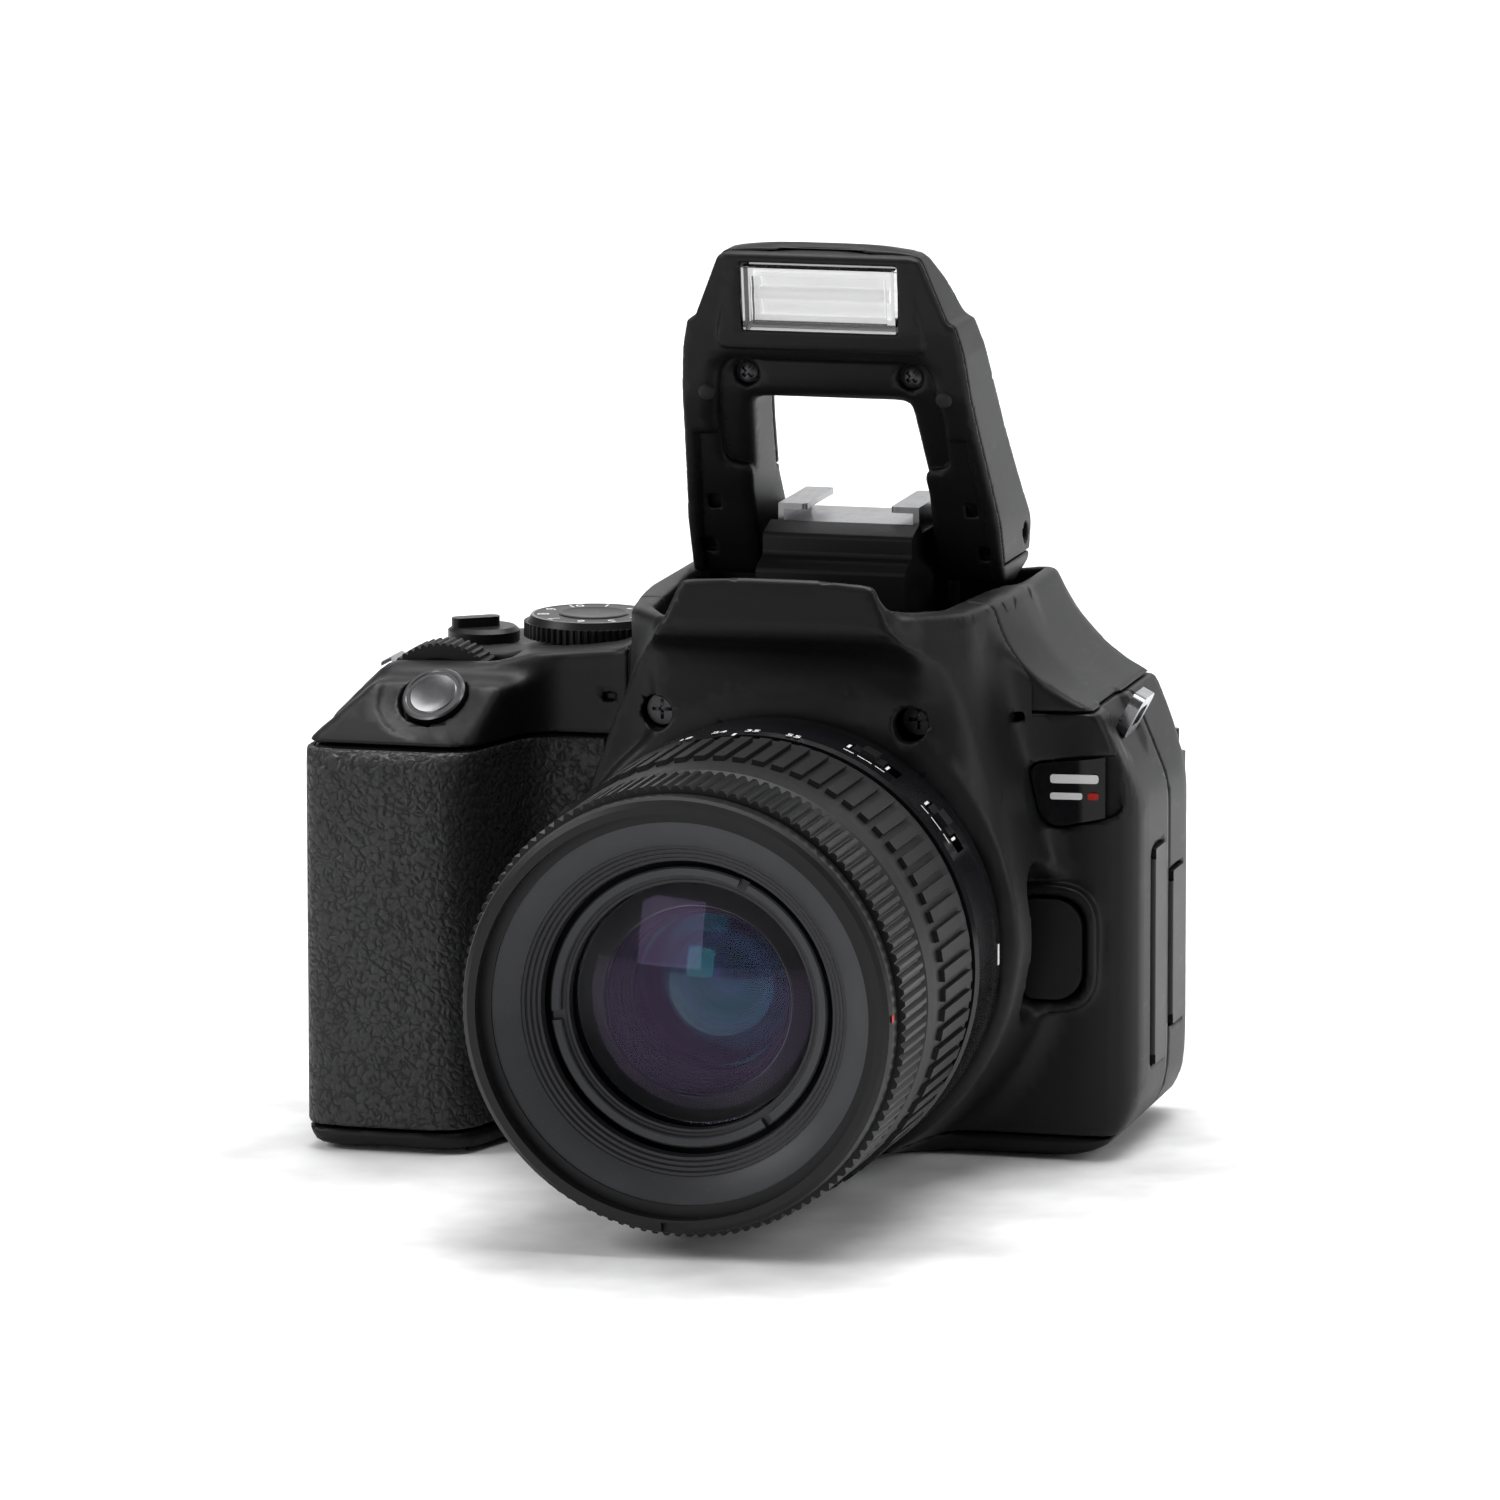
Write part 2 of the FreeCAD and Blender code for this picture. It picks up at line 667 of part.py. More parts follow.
top_cover = shell.common(top_zone)
top_cover = top_cover.fuse([button_collar, button_boss, mode_boss, switch_boss])
top_cover = top_cover.fuse(backing.common(top_zone))
top_cover = top_cover.cut([button_hole, button_seat, stem_hole, dial_slot, mode_room, mode_bore, switch_bore])
top_cover = top_cover.cut([recess_right, recess_left, tower, bay_room] + mic_holes)
top_cover = top_cover.fuse(dial_holder)
eyepiece_gap = pad_y(-14 - gap, 14 + gap, shoulder_height - 12, shoulder_height + 15 + gap, 4,
                     body_back - 8 - gap, body_back + 10)
top_cover = top_cover.cut([eyepiece_gap] + rear_bores[:1])
save("top_cover", top_cover.removeSplitter())
save("strap_lugs", lug(*lug_right, 1), lug(*lug_left, -1))

# ---------------------------------------------------------------- rear cover
rear_zone = box(-200, 200, split_y, 200, base_top, 200)
rear_cover = shell.common(rear_zone).cut(top_zone)
rear_cover = rear_cover.fuse(tower.common(box(-200, 200, body_back - 8, 200, 0, 200)).cut(tower_hole))
rear_cover = rear_cover.cut(bay_room)
side_lining_back = side_lining.common(box(0, 100, split_y, 100, 0, 100))
rear_cover = rear_cover.fuse([side_lining_back, backing.common(rear_zone).cut(top_zone)])
rear_cover = rear_cover.cut([side_pocket(*hdmi_door), recess_left, recess_right])
hdmi_hole = box(jack_x, right_x + 5, 8, 12, 20, 36)
rear_cover = rear_cover.cut(hdmi_hole)

keys_bore = cylinder((keys_centre[0], 0, keys_centre[1]), (0, 1, 0), keys_radius + slide_gap, 40)
rear_cover = rear_cover.cut(rear_bores + [keys_bore])

# ears on the rear cover that hold the monitor's pins
ear_radius = 1.9
ear_height = 4.0
lower_ear = (monitor_bottom - 0.4, monitor_bottom - 0.4 + ear_height)
upper_ear = (monitor_top + 0.4 - ear_height, monitor_top + 0.4)
monitor_pin_radius = 1.0


def ear(z0, z1):
    barrel = cylinder((hinge_x, hinge_y, z0), (0, 0, 1), ear_radius, z1 - z0)
    foot = box(hinge_x - ear_radius, monitor_right + 1.4, body_back - 5.4, hinge_y, z0, z1)
    return barrel.fuse(foot)


ears = [ear(*lower_ear), ear(*upper_ear)]
pin_bores = [
    cylinder((hinge_x, hinge_y, lower_ear[0] + 0.8), (0, 0, 1), monitor_pin_radius + pin_gap, 10),
    cylinder((hinge_x, hinge_y, upper_ear[0] - 6.8), (0, 0, 1), monitor_pin_radius + pin_gap, 10),
]
rear_cover = rear_cover.fuse(ears).cut(pin_bores)
save("rear_cover", rear_cover.removeSplitter())

thumb = [
    (left_x + 7.5, 44.5, 3),
    (-38.5, 44.5, 4),
    (-36.5, 53.5, 4),
    (left_x + 7.5, 53.5, 3),
]

# ---------------------------------------------------------------- block under the hot shoe
def block_side(shrink):
    """Side view of the block: a stepped front face, and a top that carries the shoe."""
    return [
        (block_front + shrink, bay_floor - 1, 0),
        (bay_back - gap - shrink, bay_floor - 1, 0),
        (bay_back - gap - shrink, block_top - shrink, 0.8),
        (3, block_top - shrink, 1),
        (1.5, block_top + 1.6 - shrink, 1),
        (-3.5 + shrink, block_top + 0.2 - shrink, 0.8),
        (-3.5 + shrink, block_top - 2.9, 0.8),
        (block_front + shrink, block_top - 4.4 - shrink, 0.8),
    ]


block_wall = 1.3
block_outer = prism_x(block_side(0), -block_half_width, block_half_width)
tray = prism_z(bay_plan(0.6 - gap), bay_floor - 1.3, bay_floor).common(
    box(-60, 60, bay_front + 9.6 + gap, bay_back - gap, 0, 200)
)
ear_inner = block_half_width - 0.3
ear_plate = prism_x(
    [
        (flash_pivot_y - 3.2, bay_floor - 0.5, 0),
        (bay_back - gap - 0.1, bay_floor - 0.5, 0),
        (bay_back - gap - 0.1, flash_pivot_z + 3.6, 3),
        (flash_pivot_y - 4.2, flash_pivot_z + 3.6, 3),
    ],
    ear_inner, block_half_width + ear_thickness,
)
block_hollow = prism_x(block_side(block_wall), -block_half_width + block_wall, block_half_width - block_wall)
light_path = box(
    -block_half_width + block_wall, block_half_width - block_wall,
    block_front + 1.5, bay_back + 2,
    bay_floor - 3, shoulder_height + 10.5,
)
pins = both_sides(cylinder((ear_inner + 0.1, flash_pivot_y, flash_pivot_z), (1, 0, 0), pin_radius, 9.6))
prism_block = block_outer.fuse([tray] + both_sides(ear_plate) + pins).cut([block_hollow, light_path])
save("prism_block", prism_block.removeSplitter())

# hot shoe: a flat plate with two folded rails
shoe_half = 10.7
shoe_y0, shoe_y1 = 3.4, 20.4
rail_top = block_top + 3.7
rail_reach = 4.3
sheet = 0.9
shoe_base = box(-shoe_half, shoe_half, shoe_y0, shoe_y1, block_top + 0.02, block_top + sheet)
shoe_wall = box(shoe_half - sheet, shoe_half, shoe_y0, shoe_y1, block_top + sheet - 0.1, rail_top)
shoe_rail = pad_z(shoe_half - rail_reach, shoe_half, shoe_y0, shoe_y1, 0.7, rail_top - sheet, rail_top)
hot_shoe = shoe_base.fuse(both_sides(shoe_wall) + both_sides(shoe_rail))
save("hot_shoe", hot_shoe.removeSplitter())

# ---------------------------------------------------------------- flash


hub = 4.6                     # radius of the arm's end about its pin
flash_front_line = [
    (flash_pivot_y - 13.2, flash_pivot_z - 5.6, 1.2),
    (flash_pivot_y - 17.9, flash_pivot_z + 5.6, 8),
    (flash_pivot_y - 27.4, flash_pivot_z + 23.2, 8),
    (flash_pivot_y - 30.4, flash_top - 13, 4),
    (flash_pivot_y - 32.0, flash_top - 2.2, 0.8),
]
flash_rear_line = [
    (flash_pivot_y - 27.2, flash_top, 1.5),
    (flash_pivot_y - 20.5, flash_top - 6, 6),
    (flash_pivot_y - 13.5, flash_pivot_z + 28.5, 12),
    (flash_pivot_y - 7.0, flash_pivot_z + 17.5, 12),
    (flash_pivot_y - 1.2, flash_pivot_z + 9.0, 8),
    (flash_pivot_y + hub, flash_pivot_z + 1.5, hub * 0.7),
    (flash_pivot_y + hub * 0.6, flash_pivot_z - hub, hub * 0.6),
    (flash_pivot_y - 6.5, flash_pivot_z - 6.6, 3),
]


flash_half_front = [
    (flash_outer, flash_pivot_z - 12, 0),
    (flash_outer, flash_pivot_z + 3, 10),
    (flash_outer - 2.3, flash_pivot_z + 17, 20),
    (flash_outer - 3.9, flash_top - 13, 8),
    (nose_half_width + 0.6, flash_top - 1.6, 2.5),
    (6, flash_top + 0.2, 30),
]
window_half = [
    (flash_inner, flash_pivot_z - 14, 0),
    (flash_inner, flash_pivot_z + 8, 6),
    (11.0, flash_pivot_z + 21.5, 2.5),
]


def reversed_if_needed(points):
    """Puts an outline in anticlockwise order."""
    area = sum(
        points[i - 1][0] * points[i][1] - points[i][0] * points[i - 1][1] for i in range(len(points))
    )
    return points if area > 0 else list(reversed(points))


def flash_solid(shrink=0):
    side = prism_x(reversed_if_needed(flash_front_line + flash_rear_line), -40, 40, shrink)
    front = prism_y(reversed_if_needed(symmetric(flash_half_front)), -40, 40, shrink)
    return side.common(front)


flash_body = flash_solid()
window = prism_y(reversed_if_needed(symmetric(window_half)), -40, 40)
cover_skin = 2.4
# the cover is the rear skin; the frame is what lies in front of it
skin_back, skin_down = cover_skin * 0.88, cover_skin * 0.47
shifted = prism_x(
    reversed_if_needed([(y - skin_back, z - skin_down, r) for y, z, r in flash_rear_line[:5]] + [
        (flash_pivot_y - 3, flash_pivot_z + 5.5, 1),
        (flash_pivot_y + 1, flash_pivot_z - 20, 0),
        (-60, flash_pivot_z - 20, 0),
        (-60, flash_top + 10, 0),
        (flash_pivot_y - 27.2 - skin_back, flash_top + 10, 0),
    ]),
    -60, 60,
)
arm_root = cylinder((-60, flash_pivot_y, flash_pivot_z), (1, 0, 0), hub + 6, 120)
flash_cover = flash_body.cut(window).cut(shifted).cut(arm_root)
flash_frame = flash_body.cut(window).cut(flash_cover)
pin_bore = cylinder((-60, flash_pivot_y, flash_pivot_z), (1, 0, 0), pin_radius + pin_gap, 120)
flash_frame = flash_frame.cut(pin_bore)

# lamp head: lens, reflector and tube in a pocket in the frame
lens_tilt = math.degrees(math.atan2(1.6, 10.8))
lens_half_width = 11.7
lens_low, lens_high = flash_top - 13.2, flash_top - 3.4


def head_box(x0, x1, n0, n1, z0, z1):
    """A box in the head's own directions: n runs from the lens face into the head."""
    piece = box(x0, x1, n0, n1, z0 - lens_low, z1 - lens_low)
    piece.rotate(Vector(0, 0, 0), Vector(1, 0, 0), lens_tilt)
    piece.translate(Vector(0, flash_pivot_y - 30.4, lens_low))
    return piece


head_pocket = head_box(-lens_half_width, lens_half_width, -5, 7.2, lens_low, lens_high)
flash_frame = flash_frame.cut(head_pocket)
save("flash_cover", flash_cover)
save("flash_frame", flash_frame)
flash_lens = head_box(
    -lens_half_width + gap, lens_half_width - gap, -0.5, 1.6, lens_low + gap, lens_high - gap
)
save("flash_lens", flash_lens)
line = reversed_if_needed(flash_front_line + flash_rear_line)
reflector = head_box(
    -lens_half_width + 0.6, lens_half_width - 0.6, 1.75, 6.9, lens_low + 0.6, lens_high - 0.6
)
reflector = reflector.common(prism_x(line, -30, 30, cover_skin + 0.4))
reflector_room = head_box(
    -lens_half_width + 1.4, lens_half_width - 1.4, 1.0, 6.1, lens_low + 1.4, lens_high - 1.4
)
reflector = reflector.cut(reflector_room.common(prism_x(line, -30, 30, cover_skin + 1.2).fuse(
    head_box(-20, 20, -5, 3.5, lens_low, lens_high))))
tube_rod = cylinder((-lens_half_width + 1.6, 0, 0), (1, 0, 0), 1.1, 2 * lens_half_width - 3.2)
tube_rod.rotate(Vector(0, 0, 0), Vector(1, 0, 0), lens_tilt)
lens_mid = (lens_low + lens_high) / 2
head_middle = head_box(-1, 1, 3.2, 3.4, lens_mid - 0.1, lens_mid + 0.1).CenterOfMass
tube_rod.translate(Vector(0, head_middle.y, head_middle.z))
save("flash_lamp", reflector, tube_rod)

# ---------------------------------------------------------------- controls on top
button_stem = Part.makeCylinder(post_radius, 5.5, along(button_centre, button_axis, -7.2), button_axis)
button_cap = Part.makeCylinder(button_radius, 1.9, along(button_centre, button_axis, -0.9), button_axis)
save("shutter_button", button_cap.fuse(button_stem))


def knurled(radius, height, teeth, depth, place, axis):
    """A disc with straight teeth round its edge."""
    step = 2 * math.pi / teeth
    points = []
    for i in range(teeth):
        start = i * step
        for share, r in ((0.0, radius - depth), (0.28, radius), (0.62, radius), (0.9, radius - depth)):
            a = start + share * step
            points.append(Vector(r * math.cos(a), r * math.sin(a), 0))
    face = Part.Face(Part.makePolygon(points + points[:1]))
    solid = face.extrude(Vector(0, 0, height))
    solid.Placement = FreeCAD.Placement(place, FreeCAD.Rotation(Vector(0, 0, 1), axis))
    return solid


up = Vector(0, 0, 1)
mode_base = mode_centre + Vector(0, 0, 0.1)
mode_dial = knurled(mode_radius, mode_height - 1.2, 60, 0.45, mode_base, up)
mode_cap = Part.makeCone(mode_radius - 0.5, mode_radius - 1.1, 1.0, mode_base + up * (mode_height - 1.21), up)
mode_post = Part.makeCylinder(post_radius, 8, mode_base + up * -7.9, up)
save("mode_dial", mode_dial.fuse([mode_cap, mode_post]))

switch_disc = Part.makeCylinder(switch_radius, 1.6, switch_centre + up * 0.1, up)
switch_edge = Part.makeCone(switch_radius, switch_radius - 0.7, 0.6, switch_centre + up * 1.69, up)
switch_ridge = pad_z(-5.0, 2.4, -1.25, 1.25, 1.1, 0, 1.5)
switch_ridge.rotate(Vector(0, 0, 0), up, 35)
switch_ridge.translate(switch_centre + up * 2.2)
switch_post = Part.makeCylinder(post_radius, 6, switch_centre + up * -5.8, up)
save("power_switch", switch_disc.fuse([switch_edge, switch_ridge, switch_post]))

forward = Vector(0, 1, 0)
dial_place = Vector(dial_centre.x, dial_centre.y - dial_width / 2, dial_centre.z)
main_dial = knurled(dial_radius, dial_width, 56, 0.45, dial_place, forward)
axle_bore = Part.makeCylinder(axle_radius + pin_gap, 40, dial_centre - forward * 20, forward)
main_dial = main_dial.cut(axle_bore)
main_dial = main_dial.cut(Part.makeCylinder(dial_radius - 2.2, 0.8, dial_place, forward))
save("main_dial", main_dial)


# ---------------------------------------------------------------- lens release and its pin
release_button = prism_y(release_outline(0), release_front, body_front + 1.8)
release_lever = box(pin_x - 1.2, release_x, body_front + 1.5, body_front + 3.5, release_z - 2, release_z + 2)
release_pin = cylinder((pin_x, flange_y - 1.2, pin_z), (0, 1, 0), 1.3, body_front + 2 - flange_y + 1.2)
save("lens_release", release_button.fuse([release_lever, release_pin]))

# ---------------------------------------------------------------- rear controls
for name, (x, z, radius) in button_places.items():
    cap = cylinder((x, body_back - 5, z), (0, 1, 0), radius, 5 + rear_proud)
    save(name, cap)
keys = cylinder((keys_centre[0], body_back - 4.4, keys_centre[1]), (0, 1, 0), keys_radius, 4.4 + rear_proud)
keys = keys.cut(cylinder((keys_centre[0], 0, keys_centre[1]), (0, 1, 0), set_radius + slide_gap, 60))
save("cross_keys", keys)
save(
    "set_button",
    cylinder((keys_centre[0], body_back - 4.4, keys_centre[1]), (0, 1, 0), set_radius, 4.4 + rear_proud)
)
thumb_pad = prism_y(thumb, body_back + 0.02, body_back + rubber_thickness + 0.6)
save("grip_rubber", grip_rubber, thumb_pad)

# ---------------------------------------------------------------- battery door and what it covers
door = outer.common(box(door_x0, door_x1 - door_thickness / 2, door_y0, door_y1, -1, door_thickness))
door_edge = cylinder(
    (hinge_line[0], door_y0, hinge_line[1]), (0, 1, 0), door_thickness / 2, door_y1 - door_y0
)
door_pins = [
    cylinder((hinge_line[0], door_y0 - 1.8, hinge_line[1]), (0, 1, 0), 0.6, 2.0),
    cylinder((hinge_line[0], door_y1 - 0.2, hinge_line[1]), (0, 1, 0), 0.6, 2.0),
]
latch_place = (door_x0 + 3.4, door_x0 + 8.4, -18.0, -8.0)
latch_travel = 2.5
x0, x1, y0, y1 = latch_place
latch_recess = pad_z(
    x0 - slide_gap, x1 + slide_gap, y0 - slide_gap, y1 + latch_travel + slide_gap, 0.8, -1, 1.0
)
battery_door = door.fuse([door_edge] + door_pins).cut(latch_recess)
save("battery_door", battery_door.removeSplitter())
save("door_latch", pad_z(x0, x1, y0, y1, 0.8, 0.05, 0.85))

battery_x0, battery_x1 = left_x + 5.8, left_x + 19.8
battery_y0, battery_y1 = -27.5, 5.5
battery_top = 50.8
card_x0, card_x1 = battery_x1 + 1.6, battery_x1 + 3.7
card_y0, card_y1 = -19.0, 5.0
card_top = 34.2
battery = pad_z(battery_x0, battery_x1, battery_y0, battery_y1, 1.5, door_thickness + 0.4, battery_top)
contacts = [
    box(battery_x0 + 3 + 3 * i, battery_x0 + 4.4 + 3 * i, battery_y0 - 1, battery_y0 + 1, 41, 49)
    for i in range(3)
]
save("battery", battery.cut(contacts))
card = box(card_x0, card_x1, card_y0, card_y1, door_thickness + 0.4, card_top)
save("memory_card", card)
case_outer = box(
    battery_x0 - 1.2, card_x1 + 1.2, battery_y0 - 1.2, battery_y1 + 1.2, base_top + 0.1, battery_top + 1.3
)
case_outer = case_outer.cut(box(card_x0 - 0.6, card_x1 + 2, -60, 60, card_top + 1.2, 100))
battery_well = box(
    battery_x0 - gap, battery_x1 + gap, battery_y0 - gap, battery_y1 + gap, 0, battery_top + gap
)
card_well = box(card_x0 - gap, card_x1 + gap, card_y0 - gap, card_y1 + gap, 0, card_top + gap)
card_front = box(card_x0 - 0.6, card_x1 + 2, -60, card_y0 - 1.2, 0, 100)
battery_case = case_outer.cut([battery_well, card_well, card_front])

# ---------------------------------------------------------------- terminal doors
save("mic_door", side_door(*mic_door, True))
save("hdmi_door", side_door(*hdmi_door, True))
sockets = [tube((jack_x + 0.1, -2.6, z), (1, 0, 0), 1.75, 1.25, 4.2) for z in (20, 37)]
hdmi_shell = box(jack_x + 0.2, jack_x + 4.3, 8.1, 11.9, 21.5, 34.5).cut(
    box(jack_x + 1.2, jack_x + 6, 8.6, 11.4, 22.0, 34.0)
)
save("terminals", *sockets, hdmi_shell)

# ---------------------------------------------------------------- tripod socket
insert = tube((0, 0, 0), (0, 0, 1), socket_radius, tripod_radius, socket_depth)
insert = insert.fuse(cylinder((0, 0, socket_depth - 0.01), (0, 0, 1), socket_radius, 1.0))
groove = tube((0, 0, 0.9), (0, 0, 1), socket_radius + 1, socket_radius - 0.5, 0.6)
save("tripod_socket", insert.cut(groove))

# ---------------------------------------------------------------- mount and mirror box
mount_outer = cone_front_radius - 3.2 - gap
tab_angles = (20, 140, 260)
tab_width = 56


def lens_sector(r0, r1, y0, y1, start, sweep):
    """Part of a ring about the lens axis; angles run from +X towards +Z."""
    face = Part.makePolygon([
        Vector(r0, y0, axis_height), Vector(r1, y0, axis_height),
        Vector(r1, y1, axis_height), Vector(r0, y1, axis_height), Vector(r0, y0, axis_height),
    ])
    solid = Part.Face(face).revolve(Vector(0, 0, axis_height), Vector(0, 1, 0), -sweep)
    solid.rotate(Vector(0, 0, axis_height), Vector(0, 1, 0), -start)
    return solid


mount_ring = lens_tube(mount_outer, throat_radius, flange_y, flange_y + 3.2)
mount_tabs = [
    lens_sector(25.9, throat_radius + 0.2, flange_y, flange_y + 1.4, a, tab_width)
    for a in tab_angles
]
mount_ring = mount_ring.fuse(mount_tabs).cut(
    cylinder((pin_x, flange_y - 3, pin_z), (0, 1, 0), 1.3 + slide_gap, 12)
)
mount_screws = [cylinder((29.4 * math.cos(math.radians(a)), flange_y - 0.1,
                          axis_height + 29.4 * math.sin(math.radians(a))), (0, 1, 0), 1.2, 0.8)
                for a in (45, 135, 225, 315)]
save("mount_ring", mount_ring.cut(mount_screws))

gate_half_width, gate_half_height = 12.0, 8.2
mirror_pivot = (-1.6, 48.0)
mirror_length = 30.0
mirror_half_width = 13.5
mirror_thickness = 1.4
screen_height = mirror_pivot[1] + focal_y - mirror_pivot[0]   # same path length as to the sensor
case_half_width = 18.0
flange_plate = lens_tube(mount_outer - 0.2, 25.9, flange_y + 3.3, flange_y + 5.6)
tunnel = pad_y(-case_half_width, case_half_width, 15.0, screen_height + 1.0, 3, flange_y + 5.5, 1.0)
tunnel_room = pad_y(-case_half_width + 2, case_half_width - 2, 18.0, screen_height - 2.0, 2, flange_y, 0.0)
throat = lens_cylinder(25.9, flange_y + 3, flange_y + 5.7)
gate = box(
    -gate_half_width, gate_half_width, -5, 5, axis_height - gate_half_height,
    axis_height + gate_half_height
)
screen_hole = box(-11.6, 11.6, -22.3, -5.7, screen_height - 5, screen_height + 5)
screen_seat = box(-13.2, 13.2, -23.9, -4.1, screen_height - 0.1, screen_height + 5)
mirror_pin_bore = cylinder(
    (-case_half_width + 0.8, *mirror_pivot), (1, 0, 0), 0.8 + pin_gap, 2 * case_half_width - 1.6
)
sub_length = 9.0
sub_pivot_reach = 15.5        # along the main mirror from its pivot
mirror_box = flange_plate.fuse(tunnel).cut(
    [tunnel_room, throat, gate, screen_hole, screen_seat, mirror_pin_bore]
)
release_room = box(pin_x - 4, release_x + 6, flange_y + 3, 0, release_z - 4, release_z + 4)
mirror_box = mirror_box.cut(release_room)
strut = box(card_x1 + 1.1, -case_half_width + 0.1, -4, 1, 8, 14)
save("chassis", mirror_box.fuse(strut).removeSplitter(), battery_case)


def mirror_frame(shape):
    """Places a shape drawn with the mirror lying flat, forwards from its pivot, at the resting angle."""
    shape.rotate(Vector(0, 0, 0), Vector(1, 0, 0), 45)
    shape.translate(Vector(0, *mirror_pivot))
    return shape


plate = box(-mirror_half_width, mirror_half_width, -mirror_length, 0.6, -0.9, mirror_thickness - 0.9)
mirror_axle = cylinder((-case_half_width + 1.1, 0, 0), (1, 0, 0), 0.8, 2 * case_half_width - 2.2)
sub_ears = [
    box(s * 9.2 - 0.5, s * 9.2 + 0.5, -sub_pivot_reach - 1.3, -sub_pivot_reach + 1.3, -3.4, -0.8)
    for s in (-1, 1)
]
sub_bore = cylinder((-12, -sub_pivot_reach, -2.4), (1, 0, 0), 0.5 + pin_gap, 24)
mirror_body = plate.fuse([mirror_axle] + sub_ears).cut(sub_bore)
save("reflex_mirror", mirror_frame(mirror_body))


def sub_frame(shape):
    """Hangs the small mirror from the large one, folded back by ninety degrees."""
    shape.rotate(Vector(0, 0, 0), Vector(1, 0, 0), 90)
    shape.translate(Vector(0, -sub_pivot_reach, -2.4))
    return mirror_frame(shape)


sub_plate = box(-8.2, 8.2, -sub_length, 0, -0.4, 0.4)
sub_axle = cylinder((-9.9, 0, 0), (1, 0, 0), 0.5, 19.8)
save("sub_mirror", sub_frame(sub_plate.fuse(sub_axle)))
save("focusing_screen", box(-13.0, 13.0, -23.7, -4.3, screen_height, screen_height + 0.9))

# ---------------------------------------------------------------- viewfinder
eyepiece_z = shoulder_height + 4.9
low_top = bay_floor - 3.6
low_side = [(-23.5, screen_height + 1.2, 0), (5, screen_height + 1.2, 0), (5, low_top, 0),
            (block_front + 1.8, low_top, 0), (-23.5, screen_height + 5, 0)]
low_room = [(-22.5, screen_height, 0), (4, screen_height, 0), (4, low_top - 0.8, 0),
            (block_front + 1.0, low_top - 0.8, 0), (-22.5, screen_height + 4.6, 0)]
high_side = [(block_front + 1.8, low_top - 1, 0), (7.5, low_top - 1, 0), (7.5, block_top - 3.0, 0),
             (block_front + 1.8, block_top - 7.2, 0)]
high_room = [(block_front + 2.8, low_top - 2.0, 0), (9, low_top - 0.2, 0), (9, block_top - 4.6, 0),
             (block_front + 2.8, block_top - 8.4, 0)]
mirror_house = prism_x(low_side, -13, 13).fuse(prism_x(high_side, -9.6, 9.6))
roof_half = 8.6
roof_line = [(-roof_half, 60, 0), (roof_half, 60, 0), (roof_half, block_top - 11, 0), (0, block_top - 4.6, 0)]
roof = prism_y(roof_line + [(-roof_half, block_top - 11, 0)], -10, 20)
house_room = prism_x(low_room, -12, 12).fuse(prism_x(high_room, -8.6, 8.6).common(roof))
save("pentamirror", mirror_house.cut(house_room).removeSplitter())
eye_lens = Part.makeSphere(24, Vector(0, -7.5, eyepiece_z)).common(
    pad_y(-8.4, 8.4, eyepiece_z - 5.6, eyepiece_z + 5.6, 1, 12.4, 18)
)
front_lens = pad_y(-8.6, 8.6, eyepiece_z - 5.6, eyepiece_z + 5.6, 1, 9.6, 11.8)
save("eyepiece_lens", eye_lens, front_lens)
cup_back = body_back + 3.6
cup_outer = [
    (-15.5, eyepiece_z - 9.4, 4), (15.5, eyepiece_z - 9.4, 4), (15.5, eyepiece_z + 9.4, 5),
    (-15.5, eyepiece_z + 9.4, 5)
]
cup = prism_y(cup_outer, cup_back, cup_back + 4.6)
cup_hole = pad_y(-9.8, 9.8, eyepiece_z - 6.2, eyepiece_z + 6.4, 2, cup_back - 8, cup_back + 8)
flare_low, flare_high = eyepiece_z - 8, eyepiece_z + 8
flare_line = [(-12.5, flare_low, 3), (12.5, flare_low, 3), (12.5, flare_high, 3), (-12.5, flare_high, 3)]
cup_flare = prism_y(flare_line, cup_back + 2.2, cup_back + 8)
cup = cup.cut([cup_hole, cup_flare])
save("eyecup", cup)
diopter_dial = knurled(2.7, 1.8, 24, 0.22, diopter_place, Vector(0, 1, 0))
save(
    "diopter_dial",
    diopter_dial.fuse(Part.makeCylinder(1.0, 1.2, diopter_place - Vector(0, 1.1, 0), Vector(0, 1, 0)))
)

# ---------------------------------------------------------------- shutter, sensor and boards
shutter_window = box(-12.2, 12.2, -10, 20, axis_height - 8.4, axis_height + 8.4)
shutter_case = pad_y(-17.5, 17.5, 7.5, 50.0, 1.5, 1.2, 5.2)
curtain_track = box(-13.7, 13.7, 2.6, 3.8, axis_height - 26.2, axis_height + 9.8)
shutter_unit = shutter_case.cut([shutter_window, curtain_track])
save("shutter_unit", shutter_unit)
save("shutter_curtain", fused([box(-13.4, 13.4, 2.9, 3.5, axis_height - 8.7, axis_height + 8.9)]))
package = pad_y(-15.5, 15.5, axis_height - 10.8, axis_height + 10.8, 1, focal_y, focal_y + 2.2)
cover_glass = box(-13, 13, focal_y - 1.4, focal_y - 0.02, axis_height - 9, axis_height + 9)
save("image_sensor", package, cover_glass)
board = box(-34, 30, 11.2, 12.4, 7.5, 55)
chips = [
    box(-30, -18, 10.0, 11.21, 30, 42), box(-29, -19, 10.2, 11.21, 14, 24),
    box(19, 27, 10.2, 11.21, 20, 30)
]
capacitor = cylinder((34.0, -3.5, 7), (0, 0, 1), 5.5, 34).cut(cylinder((34.0, -3.5, 40.4), (0, 0, 1), 4.0, 1))
save("main_board", board.fuse(chips), capacitor)

